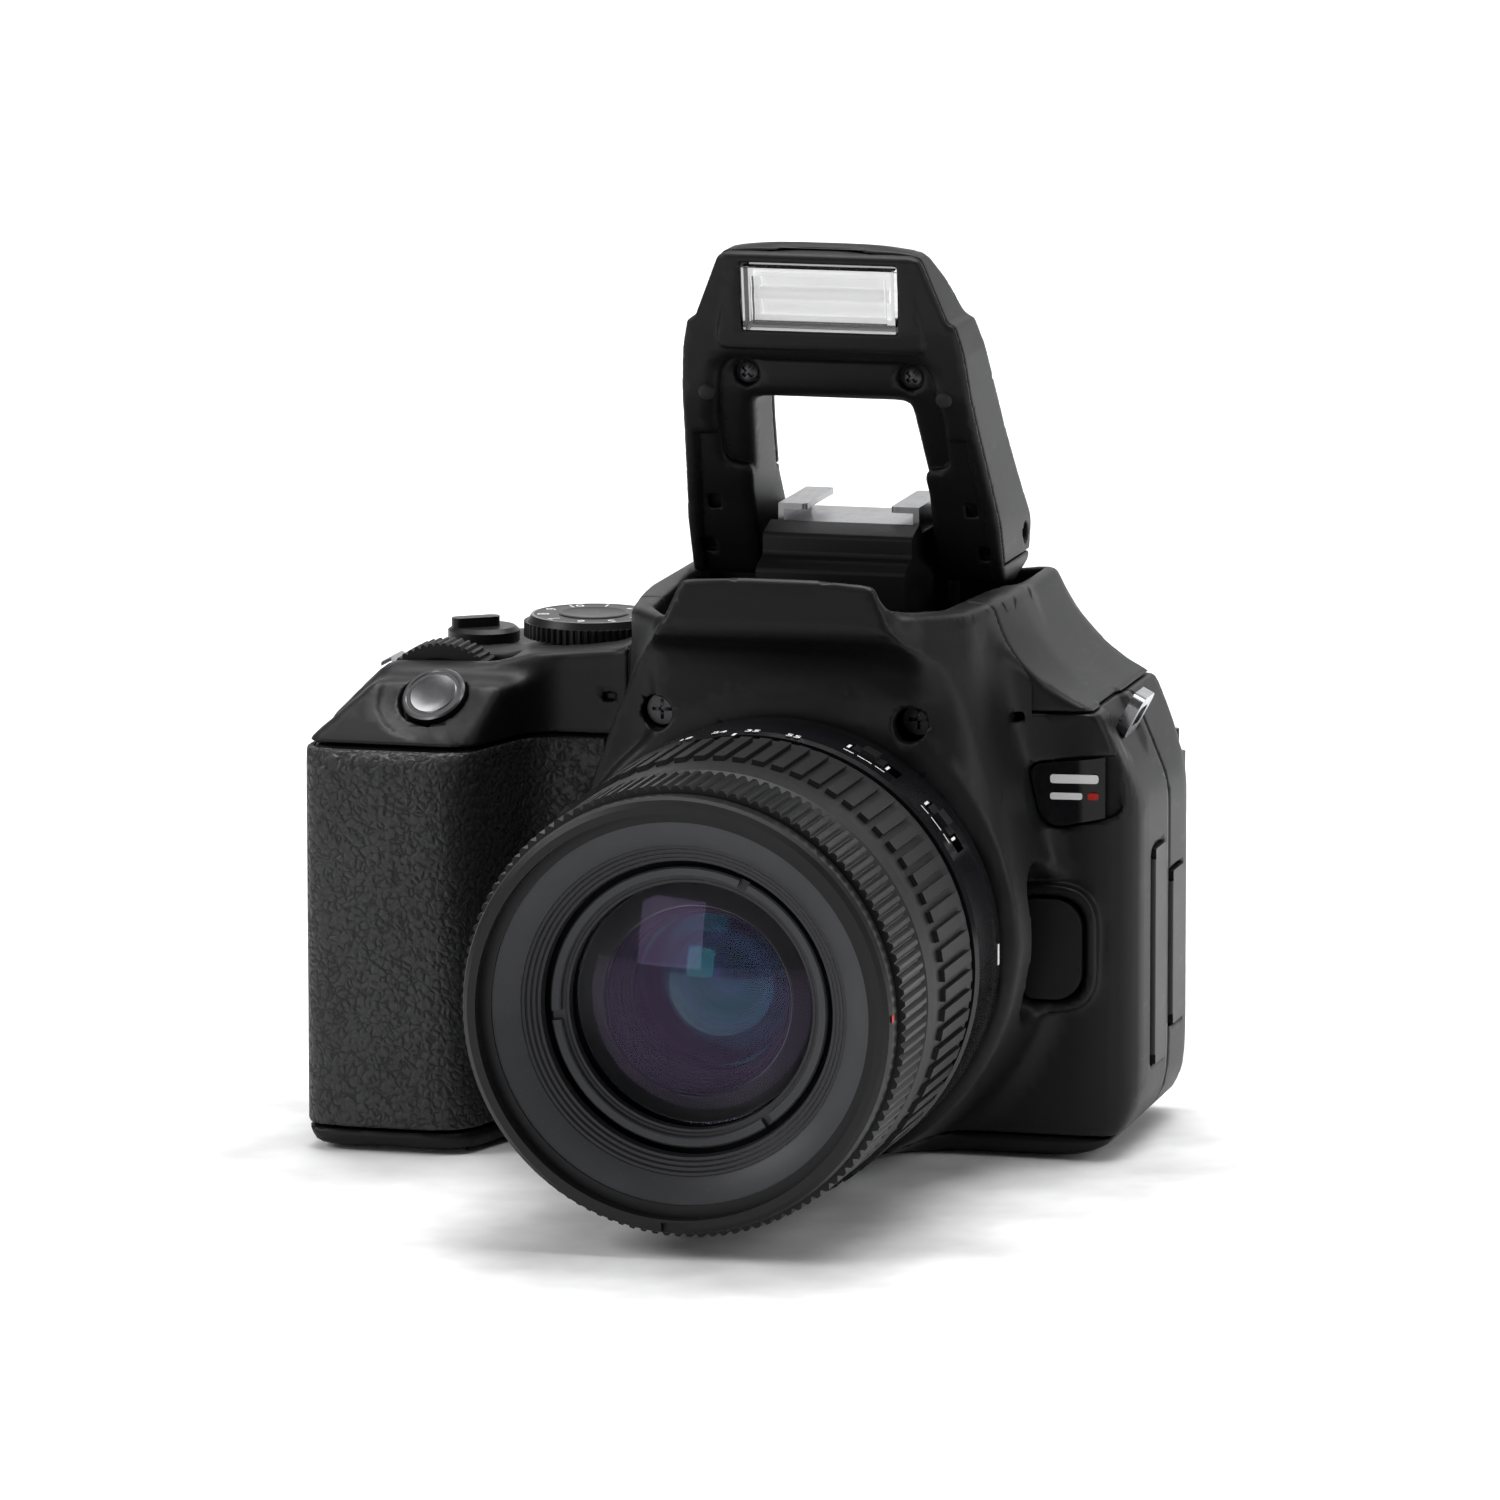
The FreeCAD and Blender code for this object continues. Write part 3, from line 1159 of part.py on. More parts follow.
# ---------------------------------------------------------------- monitor
arm_right = hinge_x + 1.9
arm_left = hinge_x - 3.0
monitor_front = monitor_back - monitor_thickness
arm_low, arm_high = lower_ear[1] + slide_gap, upper_ear[0] - slide_gap
arm = pad_z(arm_left, arm_right, monitor_front, monitor_back, 1.5, arm_low, arm_high)
arm_pins = [
    cylinder((hinge_x, hinge_y, lower_ear[0] + 1.0), (0, 0, 1), monitor_pin_radius, lower_ear[1]),
    cylinder((hinge_x, hinge_y, arm_high - 1), (0, 0, 1), monitor_pin_radius, 4.4),
]
monitor_middle = (monitor_bottom + monitor_top) / 2
pivot_y = (monitor_front + monitor_back) / 2
arm_barrel = monitor_thickness / 2 - 1.5          # clears the window and the rear skin
barrel = cylinder((arm_left - 4.5, pivot_y, monitor_middle), (1, 0, 0), arm_barrel, 5)
save("monitor_arm", arm.fuse(arm_pins + [barrel]))
panel_right = arm_left - 0.4
panel = pad_y(monitor_left, panel_right, monitor_bottom, monitor_top, 3.5, monitor_front, monitor_back)
barrel_seat = cylinder((panel_right - 6, pivot_y, monitor_middle), (1, 0, 0), arm_barrel + gap, 8)
panel_room = box(
    monitor_left + 2.5, panel_right - 7, monitor_front + 2.0, monitor_back - 1.2, monitor_bottom + 2.5,
    monitor_top - 2.5
)
glass_room = pad_y(
    monitor_left + 1.2, panel_right - 1.2, monitor_bottom + 1.2, monitor_top - 1.2, 2.6,
    monitor_front - 1, monitor_front + 1.1
)
view_hole = box(
    monitor_left + 3, panel_right - 7.5, monitor_front, monitor_front + 3, monitor_bottom + 3,
    monitor_top - 3
)
save("monitor_case", panel.cut([barrel_seat, panel_room, glass_room, view_hole]))
display = box(monitor_left + 3.3, panel_right - 7.8, monitor_front + 2.2, monitor_back - 1.6,
              monitor_bottom + 3.3, monitor_top - 3.3)
glass_edge = 1.2
monitor_window = pad_y(
    monitor_left + glass_edge, panel_right - glass_edge,
    monitor_bottom + glass_edge, monitor_top - glass_edge,
    2.6, monitor_front + 0.1, monitor_front + 1.05, gap,
)
save("monitor_glass", display, monitor_window)
save("body_screws", *screws)

# ---------------------------------------------------------------- lens: fixed parts
tube_radius = 25.4
lens_flange = lens_tube(mount_outer - 0.4, 22.5, flange_y - 1.9, flange_y - 0.03)
lens_spigot = lens_tube(tube_radius, 22.5, flange_y - 0.1, flange_y + 5.6)
lens_tabs = [
    lens_sector(tube_radius - 0.2, 26.7, flange_y + 1.6, flange_y + 3.0, a, tab_width - 4)
    for a in tab_angles
]
notch = cylinder((pin_x, flange_y - 1.5, pin_z), (0, 1, 0), 1.3 + slide_gap, 4)
save("lens_mount", lens_flange.fuse([lens_spigot] + lens_tabs).cut(notch))

# slide switches on the fixed barrel
switch_angles = {"af_switch": 62.0, "stabilizer_switch": 38.0}
switch_length = 5.2           # along the barrel's circumference
switch_slide = 2.4
switch_band = (barrel_front + 5.0, barrel_front + 8.2)


def at_angle(shape, degrees):
    """Turns a shape drawn over the lens, straight up, round to an angle from +X."""
    shape.rotate(Vector(0, 0, axis_height), Vector(0, 1, 0), 90 - degrees)
    return shape


barrel_profile = [
    (29.6, flange_y - 2.0), (32.0, flange_y - 2.0), (32.4, flange_y - 0.9), (33.0, flange_y - 2.4),
    (barrel_radius, flange_y - 6.0), (barrel_radius, barrel_front + 1.0), (barrel_radius - 0.4, barrel_front),
    (29.6, barrel_front),
]
rear_barrel = turned(barrel_profile)
barrel_top = axis_height + barrel_radius
slots = []
for name, degrees in switch_angles.items():
    band = (switch_band[0] - 0.25, switch_band[1] + 0.25)
    slot_start, slot_end = -switch_length / 2 - 0.35, switch_length / 2 + switch_slide + 0.25
    slot = box(slot_start, slot_end, band[0], band[1], barrel_top - 2.6, barrel_top + 2)
    slots.append(at_angle(slot, degrees))
rear_barrel = rear_barrel.cut(slots)
lens_notch = cylinder((pin_x, flange_y - 3.2, pin_z), (0, 1, 0), 1.3 + slide_gap, 5)
for name, degrees in switch_angles.items():
    base_plate = box(-switch_length / 2, switch_length / 2, *switch_band, barrel_top - 2.2, barrel_top + 0.1)
    grip_rib = box(-1.2, 1.2, *switch_band, barrel_top, barrel_top + 0.8)
    save(name, at_angle(base_plate.fuse(grip_rib), degrees))

guide_outer = 25.2
guide = lens_tube(guide_outer, 23.8, zoom_front - 2.0, flange_y - 2.0)
rear_plate = lens_tube(29.8, 23.8, flange_y - 5.0, flange_y - 2.0)
rear_barrel = rear_barrel.fuse([guide, rear_plate])
save("rear_barrel", rear_barrel.cut(lens_notch))

# zoom ring with broad ribs
rib_count = 72
zoom_outer = 32.4
rib_height = 0.75
zoom_ring = turned([
    (29.6, collar_front), (31.6, collar_front), (32.2, collar_front + 1.0), (zoom_outer, zoom_front),
    (zoom_outer, barrel_front - 0.4), (29.6, barrel_front - 0.4),
])
ribs = [at_angle(box(-0.85, 0.85, zoom_front + 3.6, barrel_front - 3.2, axis_height + zoom_outer - 0.4,
                     axis_height + zoom_outer + rib_height), i * 360.0 / rib_count) for i in range(rib_count)]
save("zoom_ring", zoom_ring.fuse(ribs))

# ---------------------------------------------------------------- lens: front barrel, out on zooming
inner_outer = 29.2
front_barrel = turned([
    (27.4, focus_front + 0.3), (27.4, flange_y - 12.0), (inner_outer, flange_y - 12.0),
    (inner_outer, focus_front + 0.3),
])
focus_outer = 32.3


def ring_with_teeth(outer, inner, y0, y1, teeth, depth):
    """A ring about the lens axis with straight teeth, cut as one outline."""
    place = Vector(0, y0, axis_height)
    solid = knurled(outer, y1 - y0, teeth, depth, place, Vector(0, 1, 0))
    return solid.cut(lens_cylinder(inner, y0 - 1, y1 + 1))


save(
    "focus_ring",
    ring_with_teeth(focus_outer, inner_outer + pin_gap, focus_front, collar_front - 0.4, 120, 0.6)
)
front_rim = turned([
    (27.4, focus_front + 0.28), (27.4, front_y + 2.6), (29.0, front_y + 2.6), (29.0, front_y),
    (30.2, front_y), (30.9, front_y + 0.6), (31.2, front_y + 1.6), (31.2, focus_front - 0.3),
    (inner_outer, focus_front - 0.3), (inner_outer, focus_front + 0.4), (27.4, focus_front + 0.4),
])
front_cell = lens_tube(27.6, 14.5, front_y + 14.2, front_y + 16.0)
front_barrel = front_barrel.fuse([front_rim, front_cell])
save(
    "front_barrel",
    front_barrel.cut(box(-2, 2, front_y - 1, front_y + 1.2, axis_height - 33, axis_height - 29.4))
)
save("name_ring", turned([
    (27.3, front_y + 12.0), (27.3, front_y + 2.9), (26.9, front_y + 2.9), (23.6, front_y + 5.6),
    (23.0, front_y + 5.6), (23.0, front_y + 7.4), (21.6, front_y + 7.4), (21.6, front_y + 8.6),
    (20.2, front_y + 8.6),
    (20.2, front_y + 9.6), (18.4, front_y + 9.6), (18.4, front_y + 12.0),
]))

# ---------------------------------------------------------------- glass and aperture
glass_radius = 17.6


def element(radius, y_front, thickness, front_curve, rear_curve):
    """A glass element: curves are sphere radii, positive when the face bulges outwards, 0 for flat."""
    solid = lens_cylinder(radius, y_front - 8, y_front + thickness + 8)
    y_back = y_front + thickness
    if front_curve > 0:
        ball = Part.makeSphere(front_curve, Vector(0, y_front + front_curve, axis_height))
        solid = solid.common(
            ball.fuse(lens_cylinder(radius + 1, y_front + front_curve, y_front + front_curve + 60))
        )
    elif front_curve < 0:
        solid = solid.common(lens_cylinder(radius, y_front, y_back + 8))
        solid = solid.cut(Part.makeSphere(-front_curve, Vector(0, y_front + front_curve + 1.6, axis_height)))
    else:
        solid = solid.common(lens_cylinder(radius, y_front, y_back + 8))
    if rear_curve > 0:
        ball = Part.makeSphere(rear_curve, Vector(0, y_back - rear_curve, axis_height))
        solid = solid.common(
            ball.fuse(lens_cylinder(radius + 1, y_back - rear_curve - 60, y_back - rear_curve))
        )
    else:
        solid = solid.common(lens_cylinder(radius, y_front - 8, y_back))
        if rear_curve < 0:
            solid = solid.cut(Part.makeSphere(-rear_curve, Vector(0, y_back - rear_curve - 1.6, axis_height)))
    return solid


front_glass = element(glass_radius, front_y + 9.9, 4.2, 60, 0)
save("front_glass", front_glass)
focus_glass = element(11.0, front_y + 20.0, 3.0, 40, 40)
focus_cell = lens_tube(13.0, 11.0 + gap, front_y + 19.6, front_y + 24.0)
save("focus_group", focus_glass, focus_cell)
aperture_y = front_y + 29.0
aperture_ring = lens_tube(22.0, 9.5, aperture_y, aperture_y + 3.0)
blades = lens_tube(20.0, 4.5, aperture_y + 3.05, aperture_y + 3.35)
rear_glass = element(10.5, flange_y - 8.0, 3.4, 45, 0)
rear_cell = lens_tube(23.6, 10.5 + gap, flange_y - 9.0, flange_y - 4.0)
save("rear_group", rear_glass, rear_cell, aperture_ring, blades)
print(len(made), "pieces")
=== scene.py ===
import bmesh
import bpy
import json
import math
import numpy as np
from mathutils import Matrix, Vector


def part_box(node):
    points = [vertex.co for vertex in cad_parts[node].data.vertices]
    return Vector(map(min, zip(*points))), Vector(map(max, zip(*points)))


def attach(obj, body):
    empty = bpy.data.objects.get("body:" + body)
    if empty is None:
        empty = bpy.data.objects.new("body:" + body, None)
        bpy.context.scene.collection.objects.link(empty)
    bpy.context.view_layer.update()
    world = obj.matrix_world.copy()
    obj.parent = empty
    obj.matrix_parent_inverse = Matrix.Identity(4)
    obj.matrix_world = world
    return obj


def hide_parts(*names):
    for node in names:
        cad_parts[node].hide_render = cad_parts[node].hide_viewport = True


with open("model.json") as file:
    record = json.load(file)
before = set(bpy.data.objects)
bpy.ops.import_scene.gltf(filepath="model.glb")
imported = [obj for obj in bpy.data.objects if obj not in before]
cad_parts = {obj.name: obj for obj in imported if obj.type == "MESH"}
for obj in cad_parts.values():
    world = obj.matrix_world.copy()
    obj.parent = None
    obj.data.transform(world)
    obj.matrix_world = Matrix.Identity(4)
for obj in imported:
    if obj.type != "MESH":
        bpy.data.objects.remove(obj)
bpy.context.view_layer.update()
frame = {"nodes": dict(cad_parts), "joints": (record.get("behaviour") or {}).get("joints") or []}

import openvdb
from mathutils import Matrix, Vector

mm = 0.001
nodes = frame["nodes"]


# sockets and materials
class Wire:  # an output socket that can be used in sums
    def __init__(self, tree, socket=None):
        self.tree = tree
        self.socket = socket

    def add(self, kind, settings=None, sockets=None, out=0):  # any node: settings first, then sockets
        node = self.tree.nodes.new("ShaderNode" + kind)
        for name, value in (settings or {}).items():
            if name == "stops":
                fillRamp(node.color_ramp, value)
            else:
                setattr(node, name, value)
        for name, value in (sockets or {}).items():
            join(self.tree, node.inputs[name], value)
        return Wire(self.tree, node.outputs[out])

    def maths(self, operation, other=0.0, flip=False):
        pair = (other, self) if flip else (self, other)
        return self.add("Math", {"operation": operation}, {0: pair[0], 1: pair[1]})

    def __add__(self, other):
        return self.maths("ADD", other)

    def __radd__(self, other):
        return self.maths("ADD", other, True)

    def __sub__(self, other):
        return self.maths("SUBTRACT", other)

    def __rsub__(self, other):
        return self.maths("SUBTRACT", other, True)

    def __mul__(self, other):
        return self.maths("MULTIPLY", other)

    def __rmul__(self, other):
        return self.maths("MULTIPLY", other, True)

    def __truediv__(self, other):
        return self.maths("DIVIDE", other)

    def __rtruediv__(self, other):
        return self.maths("DIVIDE", other, True)

    def clamp(self):
        return self.add("Clamp", {}, {"Value": self})

    def spread(self, low, high):  # 0..1 over the given stretch
        return self.add("MapRange", {"clamp": True}, {"Value": self, "From Min": low, "From Max": high})

    def tint(self, first, second):  # a colour between two by this mask
        return self.add("Mix", {"data_type": "RGBA"}, {"Factor": self, "A": rgba(first), "B": rgba(second)}, "Result")

    def part(self, axis):
        return self.add("SeparateXYZ", {}, {0: self}, axis)


def join(tree, socket, value):
    if isinstance(value, Wire):
        tree.links.new(value.socket, socket)
    else:
        socket.default_value = value


def fillRamp(ramp, stops):
    while len(ramp.elements) < len(stops):
        ramp.elements.new(0.5)
    for element, (place, colour) in zip(ramp.elements, stops):
        element.position = place
        element.color = rgba(colour)


def rgba(colour):
    if isinstance(colour, Wire):
        return colour
    if isinstance(colour, (int, float)):
        return (colour, colour, colour, 1)
    return (*colour, 1) if len(colour) == 3 else colour


def material(name, fixed, build):  # fixed: constant sockets of the shader; build: what varies over the surface
    made = bpy.data.materials.new(name)
    made.use_nodes = True
    tree = made.node_tree
    shader = tree.nodes["Principled BSDF"]
    for socket, value in fixed.items():
        shader.inputs[socket].default_value = value
    start = Wire(tree).add("TexCoord", {}, {}, "Object")
    for socket, value in build(start).items():
        join(tree, shader.inputs[socket], value)
    return made


def noise(at, size, detail=2.0, rough=0.5, warp=0.0, shape=None):  # size: metres from bump to bump
    place = at if shape is None else at.add("Mapping", {}, {"Vector": at, "Scale": shape})
    return at.add("TexNoise", {}, {"Vector": place, "Scale": 1 / size, "Detail": detail,
                                   "Roughness": rough, "Distortion": warp}, "Fac")


def cells(at, size, feature="DISTANCE_TO_EDGE", out="Distance"):
    return at.add("TexVoronoi", {"feature": feature}, {"Vector": at, "Scale": 1 / size}, out)


def bump(height, depth, strength=1.0, under=None):
    sockets = {"Height": height, "Distance": depth, "Strength": strength}
    if under is not None:
        sockets["Normal"] = under
    return height.add("Bump", {}, sockets)


def shade(colour, factor):
    return tuple(min(1.0, c * factor) for c in colour)


def plastic(name, colour, rough, grain=0.22 * mm, depth=0.012 * mm, spread=0.06, fixed=None, edges=0.0):
    # moulded plastic: spark-eroded grain, slow changes of shade, faint rub marks and paler crests
    def build(at):
        fine = noise(at, grain, 3.0, 0.6)
        slow = noise(at, 17 * mm, 3.0)
        rubs = noise(at, 2.2 * mm, 4.0, 0.65, 0.4, (1.0, 0.35, 1.0)).spread(0.56, 0.74)
        dust = noise(at, 0.5 * mm, 1.0).spread(0.70, 0.78)
        base = slow.spread(0.3, 0.7).tint(shade(colour, 0.86), shade(colour, 1.16))
        base = (dust * 0.30).tint(base, shade(colour, 2.2))
        roughness = rough + (slow - 0.5) * spread - rubs * spread * 0.7 + (fine - 0.5) * spread
        if edges:
            crest = at.add("NewGeometry", {}, {}, "Pointiness").spread(0.52, 0.60)
            base = (crest * edges).tint(base, shade(colour, 3.0))
            roughness = roughness - crest * spread
        return {"Base Color": base, "Roughness": roughness.clamp(), "Normal": bump(fine, depth)}
    return material(name, {"Specular IOR Level": 0.22, **(fixed or {})}, build)


def metal(name, colour, rough, scratch=0.3 * mm, stretch=(1, 1, 1), depth=0.004 * mm, coat=0.0):
    # rolled or cast metal: fine scratches along the stretch, cloudy tone and small tarnish spots
    def build(at):
        fine = noise(at, scratch, 4.0, 0.7, 0.0, stretch)
        cloud = noise(at, 4 * mm, 3.0)
        spots = noise(at, 0.8 * mm, 2.0).spread(0.66, 0.76)
        base = cloud.spread(0.3, 0.7).tint(shade(colour, 0.84), shade(colour, 1.08))
        base = (spots * 0.35).tint(base, shade(colour, 0.5))
        roughness = rough + (fine - 0.5) * 0.22 + spots * 0.12
        return {"Base Color": base, "Roughness": roughness.clamp(), "Normal": bump(fine, depth)}
    return material(name, {"Metallic": 1.0, "Coat Weight": coat}, build)


def leather(name, colour, rough, pebble=1.2 * mm, depth=0.22 * mm):
    # moulded rubber: short broken wrinkles between pebbles, darkened in the colour as painted shade, with a fine bloom
    # on top
    def build(at):
        drift = at.add("TexNoise", {}, {"Vector": at, "Scale": 1 / (2.4 * mm), "Detail": 2.0}, "Color")
        bent = at.add("VectorMath", {"operation": "MULTIPLY_ADD"},
                      {0: drift, 1: (0.0016, 0.0016, 0.0016), 2: at})
        edge = cells(bent, pebble)
        broken = noise(at, 1.3 * mm, 1.0).spread(0.40, 0.56)
        grooveShadeMask = (1 - edge.spread(0.0, 0.20)) * (0.35 + broken * 0.65)
        fine = noise(at, 0.16 * mm, 2.0)
        slow = noise(at, 20 * mm, 2.0)
        base = slow.spread(0.3, 0.7).tint(shade(colour, 0.9), shade(colour, 1.12))
        # painted shade: the grooves between the pebbles are darkened in the base colour
        base = (grooveShadeMask * 0.85).tint(base, shade(colour, 0.15))
        roughness = rough + grooveShadeMask * 0.2 + (fine - 0.5) * 0.12
        height = 1 - (1 - edge.spread(0.0, 0.5)) * (0.35 + broken * 0.65) + fine * 0.08
        return {"Base Color": base, "Roughness": roughness.clamp(), "Normal": bump(height, depth)}
    return material(name, {"Specular IOR Level": 0.3}, build)


def glass(name, tintColour, sheen, ior=1.52, rough=0.02):
    # clear optics with a coating that colours what they reflect, a breath of dust and faint wipe marks
    def build(at):
        wipes = noise(at, 6 * mm, 3.0, 0.6, 0.8)
        dust = noise(at, 0.35 * mm, 1.0).spread(0.76, 0.84)
        base = (dust * 0.10).tint(tintColour, shade(tintColour, 0.8))
        return {"Base Color": base, "Roughness": (rough + wipes.spread(0.5, 0.8) * 0.012 + dust * 0.02).clamp()}
    fixed = {"Transmission Weight": 1.0, "IOR": ior, "Specular Tint": rgba(sheen)}
    return material(name, fixed, build)


def board(name, colour):
    # circuit board: copper tracks under solder mask
    def build(at):
        tracks = at.add("TexBrick", {"offset": 0.5}, {"Vector": at, "Scale": 1 / (2.4 * mm), "Mortar Size": 0.06,
                        "Color1": rgba(colour), "Color2": rgba(shade(colour, 1.5)),
                        "Mortar": rgba((0.30, 0.22, 0.06))}, "Color")
        fine = noise(at, 0.3 * mm)
        return {"Base Color": tracks, "Roughness": (0.35 + fine * 0.2).clamp(), "Normal": bump(fine, 0.01 * mm)}
    return material(name, {}, build)


print("materials")
black = (0.0042, 0.0043, 0.0048)
finish = {
    "cover": plastic("coverPlastic", black, 0.46, edges=0.25),
    "lensSatin": plastic("barrelPlastic", (0.007, 0.0071, 0.0076), 0.40, 0.25 * mm, 0.008 * mm),
    "ribbed": plastic("ribbedRubber", (0.009, 0.0091, 0.0096), 0.52, 0.2 * mm, 0.01 * mm),
    "glossy": plastic("pianoBlack", (0.005, 0.005, 0.006), 0.17, 1.2 * mm, 0.001 * mm, 0.05),
    "nameRing": plastic("ringGrey", (0.044, 0.045, 0.049), 0.46, 0.18 * mm, 0.008 * mm),
    "baffle": plastic("baffleBlack", (0.024, 0.0235, 0.0265), 0.34, 0.2 * mm, 0.008 * mm),
    "matte": plastic("innerBlack", (0.003, 0.003, 0.003), 0.75, 0.3 * mm, 0.02 * mm),
    "knob": plastic("knobPlastic", (0.009, 0.009, 0.0096), 0.38, 0.2 * mm, 0.01 * mm),
    "rubber": plastic("softRubber", (0.014, 0.014, 0.014), 0.68, 0.3 * mm, 0.02 * mm, 0.1),
    "grip": leather("gripLeather", (0.026, 0.0264, 0.028), 0.42),
    "spun": metal("spunSteel", (0.17, 0.17, 0.175), 0.30, 0.10 * mm),
    "shoe": metal("shoeSteel", (0.27, 0.27, 0.28), 0.32, 0.4 * mm, (1, 0.08, 1)),
    "lug": metal("lugSteel", (0.32, 0.32, 0.33), 0.22, 0.4 * mm),
    "mount": metal("mountChrome", (0.58, 0.58, 0.60), 0.22, 0.3 * mm),
    "screw": metal("blackScrew", (0.055, 0.055, 0.058), 0.36, 0.25 * mm),
    "window": glass("flashPanel", (1, 1, 1), (1, 1, 1), 1.49, 0.03),
    "optics": glass("coatedGlass", (0.97, 0.99, 1.0), (0.55, 0.40, 0.75), 1.34, 0.0),
    "innerGlass": glass("innerCoatedGlass", (0.30, 0.42, 0.50), (0.08, 0.60, 0.75), 1.42, 0.0),
    "violetGlass": glass("violetCoatedGlass", (0.35, 0.28, 0.45), (0.65, 0.30, 0.90), 1.6, 0.0),
    "silver": metal("silverMirror", (0.90, 0.90, 0.92), 0.03, 1.0 * mm, (1, 1, 1), 0.0005 * mm),
    "board": board("circuitBoard", (0.010, 0.055, 0.028)),
    "battery": plastic("batteryShell", (0.045, 0.046, 0.05), 0.5),
    "card": plastic("cardShell", (0.03, 0.05, 0.12), 0.42),
    "display": plastic("displayGlass", (0.004, 0.004, 0.0045), 0.07, 2 * mm, 0.0005 * mm, 0.03,
                       {"Coat Weight": 1.0, "Coat Roughness": 0.03}),
    "frame": plastic("innerFrame", (0.02, 0.02, 0.021), 0.6, 0.3 * mm, 0.02 * mm),
    "curtain": metal("curtainBlades", (0.05, 0.05, 0.052), 0.45, 0.3 * mm, (0.1, 1, 1)),
    # painted light: the flash reflector glows with its own white emission, though the flash is not firing
    "lampPaintedGlow": plastic("reflectorPaintedGlow", (0.80, 0.80, 0.81), 0.30, 0.4 * mm, 0.004 * mm, 0.05,
                         {"Emission Strength": 0.35, "Emission Color": (1, 1, 1, 1)}),
    "paint": plastic("whitePaint", (0.80, 0.80, 0.80), 0.45, 0.15 * mm, 0.004 * mm),
    "redPaint": plastic("redPaint", (0.45, 0.02, 0.015), 0.45, 0.15 * mm, 0.004 * mm),
}
nodeFinish = {
    "cover": "front_cover top_cover rear_cover bottom_cover prism_block flash_frame flash_cover monitor_case "
             "monitor_arm mic_door hdmi_door battery_door lens_release door_latch",
    "lensSatin": "front_barrel focus_ring",
    "ribbed": "zoom_ring main_dial",
    "glossy": "rear_barrel badge_plate",
    "nameRing": "name_ring",
    "knob": "mode_dial power_switch menu_button live_view_button ae_lock_button playback_button cross_keys "
            "set_button af_switch stabilizer_switch diopter_dial",
    "rubber": "eyecup",
    "grip": "grip_rubber",
    "spun": "shutter_button",
    "shoe": "hot_shoe",
    "lug": "strap_lugs",
    "mount": "lens_mount mount_ring tripod_socket terminals",
    "screw": "body_screws",
    "window": "flash_lens",
    "optics": "front_glass focus_group rear_group eyepiece_lens focusing_screen image_sensor",
    "silver": "pentamirror reflex_mirror sub_mirror",
    "board": "main_board",
    "battery": "battery",
    "card": "memory_card",
    "display": "monitor_glass",
    "frame": "chassis shutter_unit",
    "curtain": "shutter_curtain",
    "lampPaintedGlow": "flash_lamp",
}
for finishName, names in nodeFinish.items():
    for name in names.split():
        slots = nodes[name].data.materials
        for index in range(len(slots)):
            slots[index] = finish[finishName]

# shells: distance fields on a lattice, in millimetres, turned into meshes
class Lattice:  # a block of sample points that holds one distance field
    def __init__(self, low, high, step):
        self.low = np.array(low, dtype=np.float32)
        self.step = step
        counts = [int(math.ceil((b - a) / step)) + 1 for a, b in zip(low, high)]
        axes = [(self.low[i] + step * np.arange(counts[i])).astype(np.float32) for i in range(3)]
        self.x, self.y, self.z = axes[0][:, None, None], axes[1][None, :, None], axes[2][None, None, :]
        self.far = None

    def window(self, low, high):  # the slices and sample points inside a smaller block
        spans = []
        for i, axis in enumerate((self.x, self.y, self.z)):
            flat = axis.ravel()
            first = int(np.searchsorted(flat, low[i]))
            last = int(np.searchsorted(flat, high[i])) + 1
            spans.append(slice(max(first, 0), min(last, flat.size)))
        return tuple(spans), (self.x[spans[0]], self.y[:, spans[1]], self.z[:, :, spans[2]])

    def carve(self, low, high, shape, blend=0.0):  # takes the shape away inside the block
        spans, at = self.window(low, high)
        self.far[spans] = meet(self.far[spans], -shape(*at), blend)

    def grow(self, low, high, shape, blend=0.0):  # adds the shape inside the block
        spans, at = self.window(low, high)
        self.far[spans] = blended(self.far[spans], shape(*at), blend)


def meet(a, b, blend=0.0):  # what is inside both, with the edge rounded over the blend
    if not isinstance(blend, np.ndarray) and blend <= 0:
        return np.maximum(a, b)
    over = np.maximum(blend - np.abs(a - b), 0)
    return np.maximum(a, b) + over * over / (4 * blend)


def blended(a, b, blend=0.0):  # what is inside either, with the corner filled over the blend
    if not isinstance(blend, np.ndarray) and blend <= 0:
        return np.minimum(a, b)
    over = np.maximum(blend - np.abs(a - b), 0)
    return np.minimum(a, b) - over * over / (4 * blend)


def eased(value, low, high):  # a smooth 0..1 ramp
    share = np.clip((value - low) / (high - low), 0, 1)
    return share * share * (3 - 2 * share)


def rounded(corners):  # a closed polyline through (u, v, radius) corners
    line = []
    count = len(corners)
    for i in range(count):
        before, here, after = (np.array(corners[(i + k) % count][:2], float) for k in (-1, 0, 1))
        radius = corners[i][2]
        a, b = before - here, after - here
        lengthA, lengthB = np.linalg.norm(a), np.linalg.norm(b)
        a, b = a / lengthA, b / lengthB
        angle = math.acos(np.clip(np.dot(a, b), -1, 1))
        if radius <= 0 or angle > math.pi - 0.01:
            line.append(here)
            continue
        reach = min(radius / math.tan(angle / 2), 0.49 * lengthA, 0.49 * lengthB)
        first, last = here + a * reach, here + b * reach
        steps = 7
        for step in range(steps + 1):
            t = step / steps
            line.append(first * (1 - t) ** 2 + here * 2 * t * (1 - t) + last * t * t)
    return np.array(line)


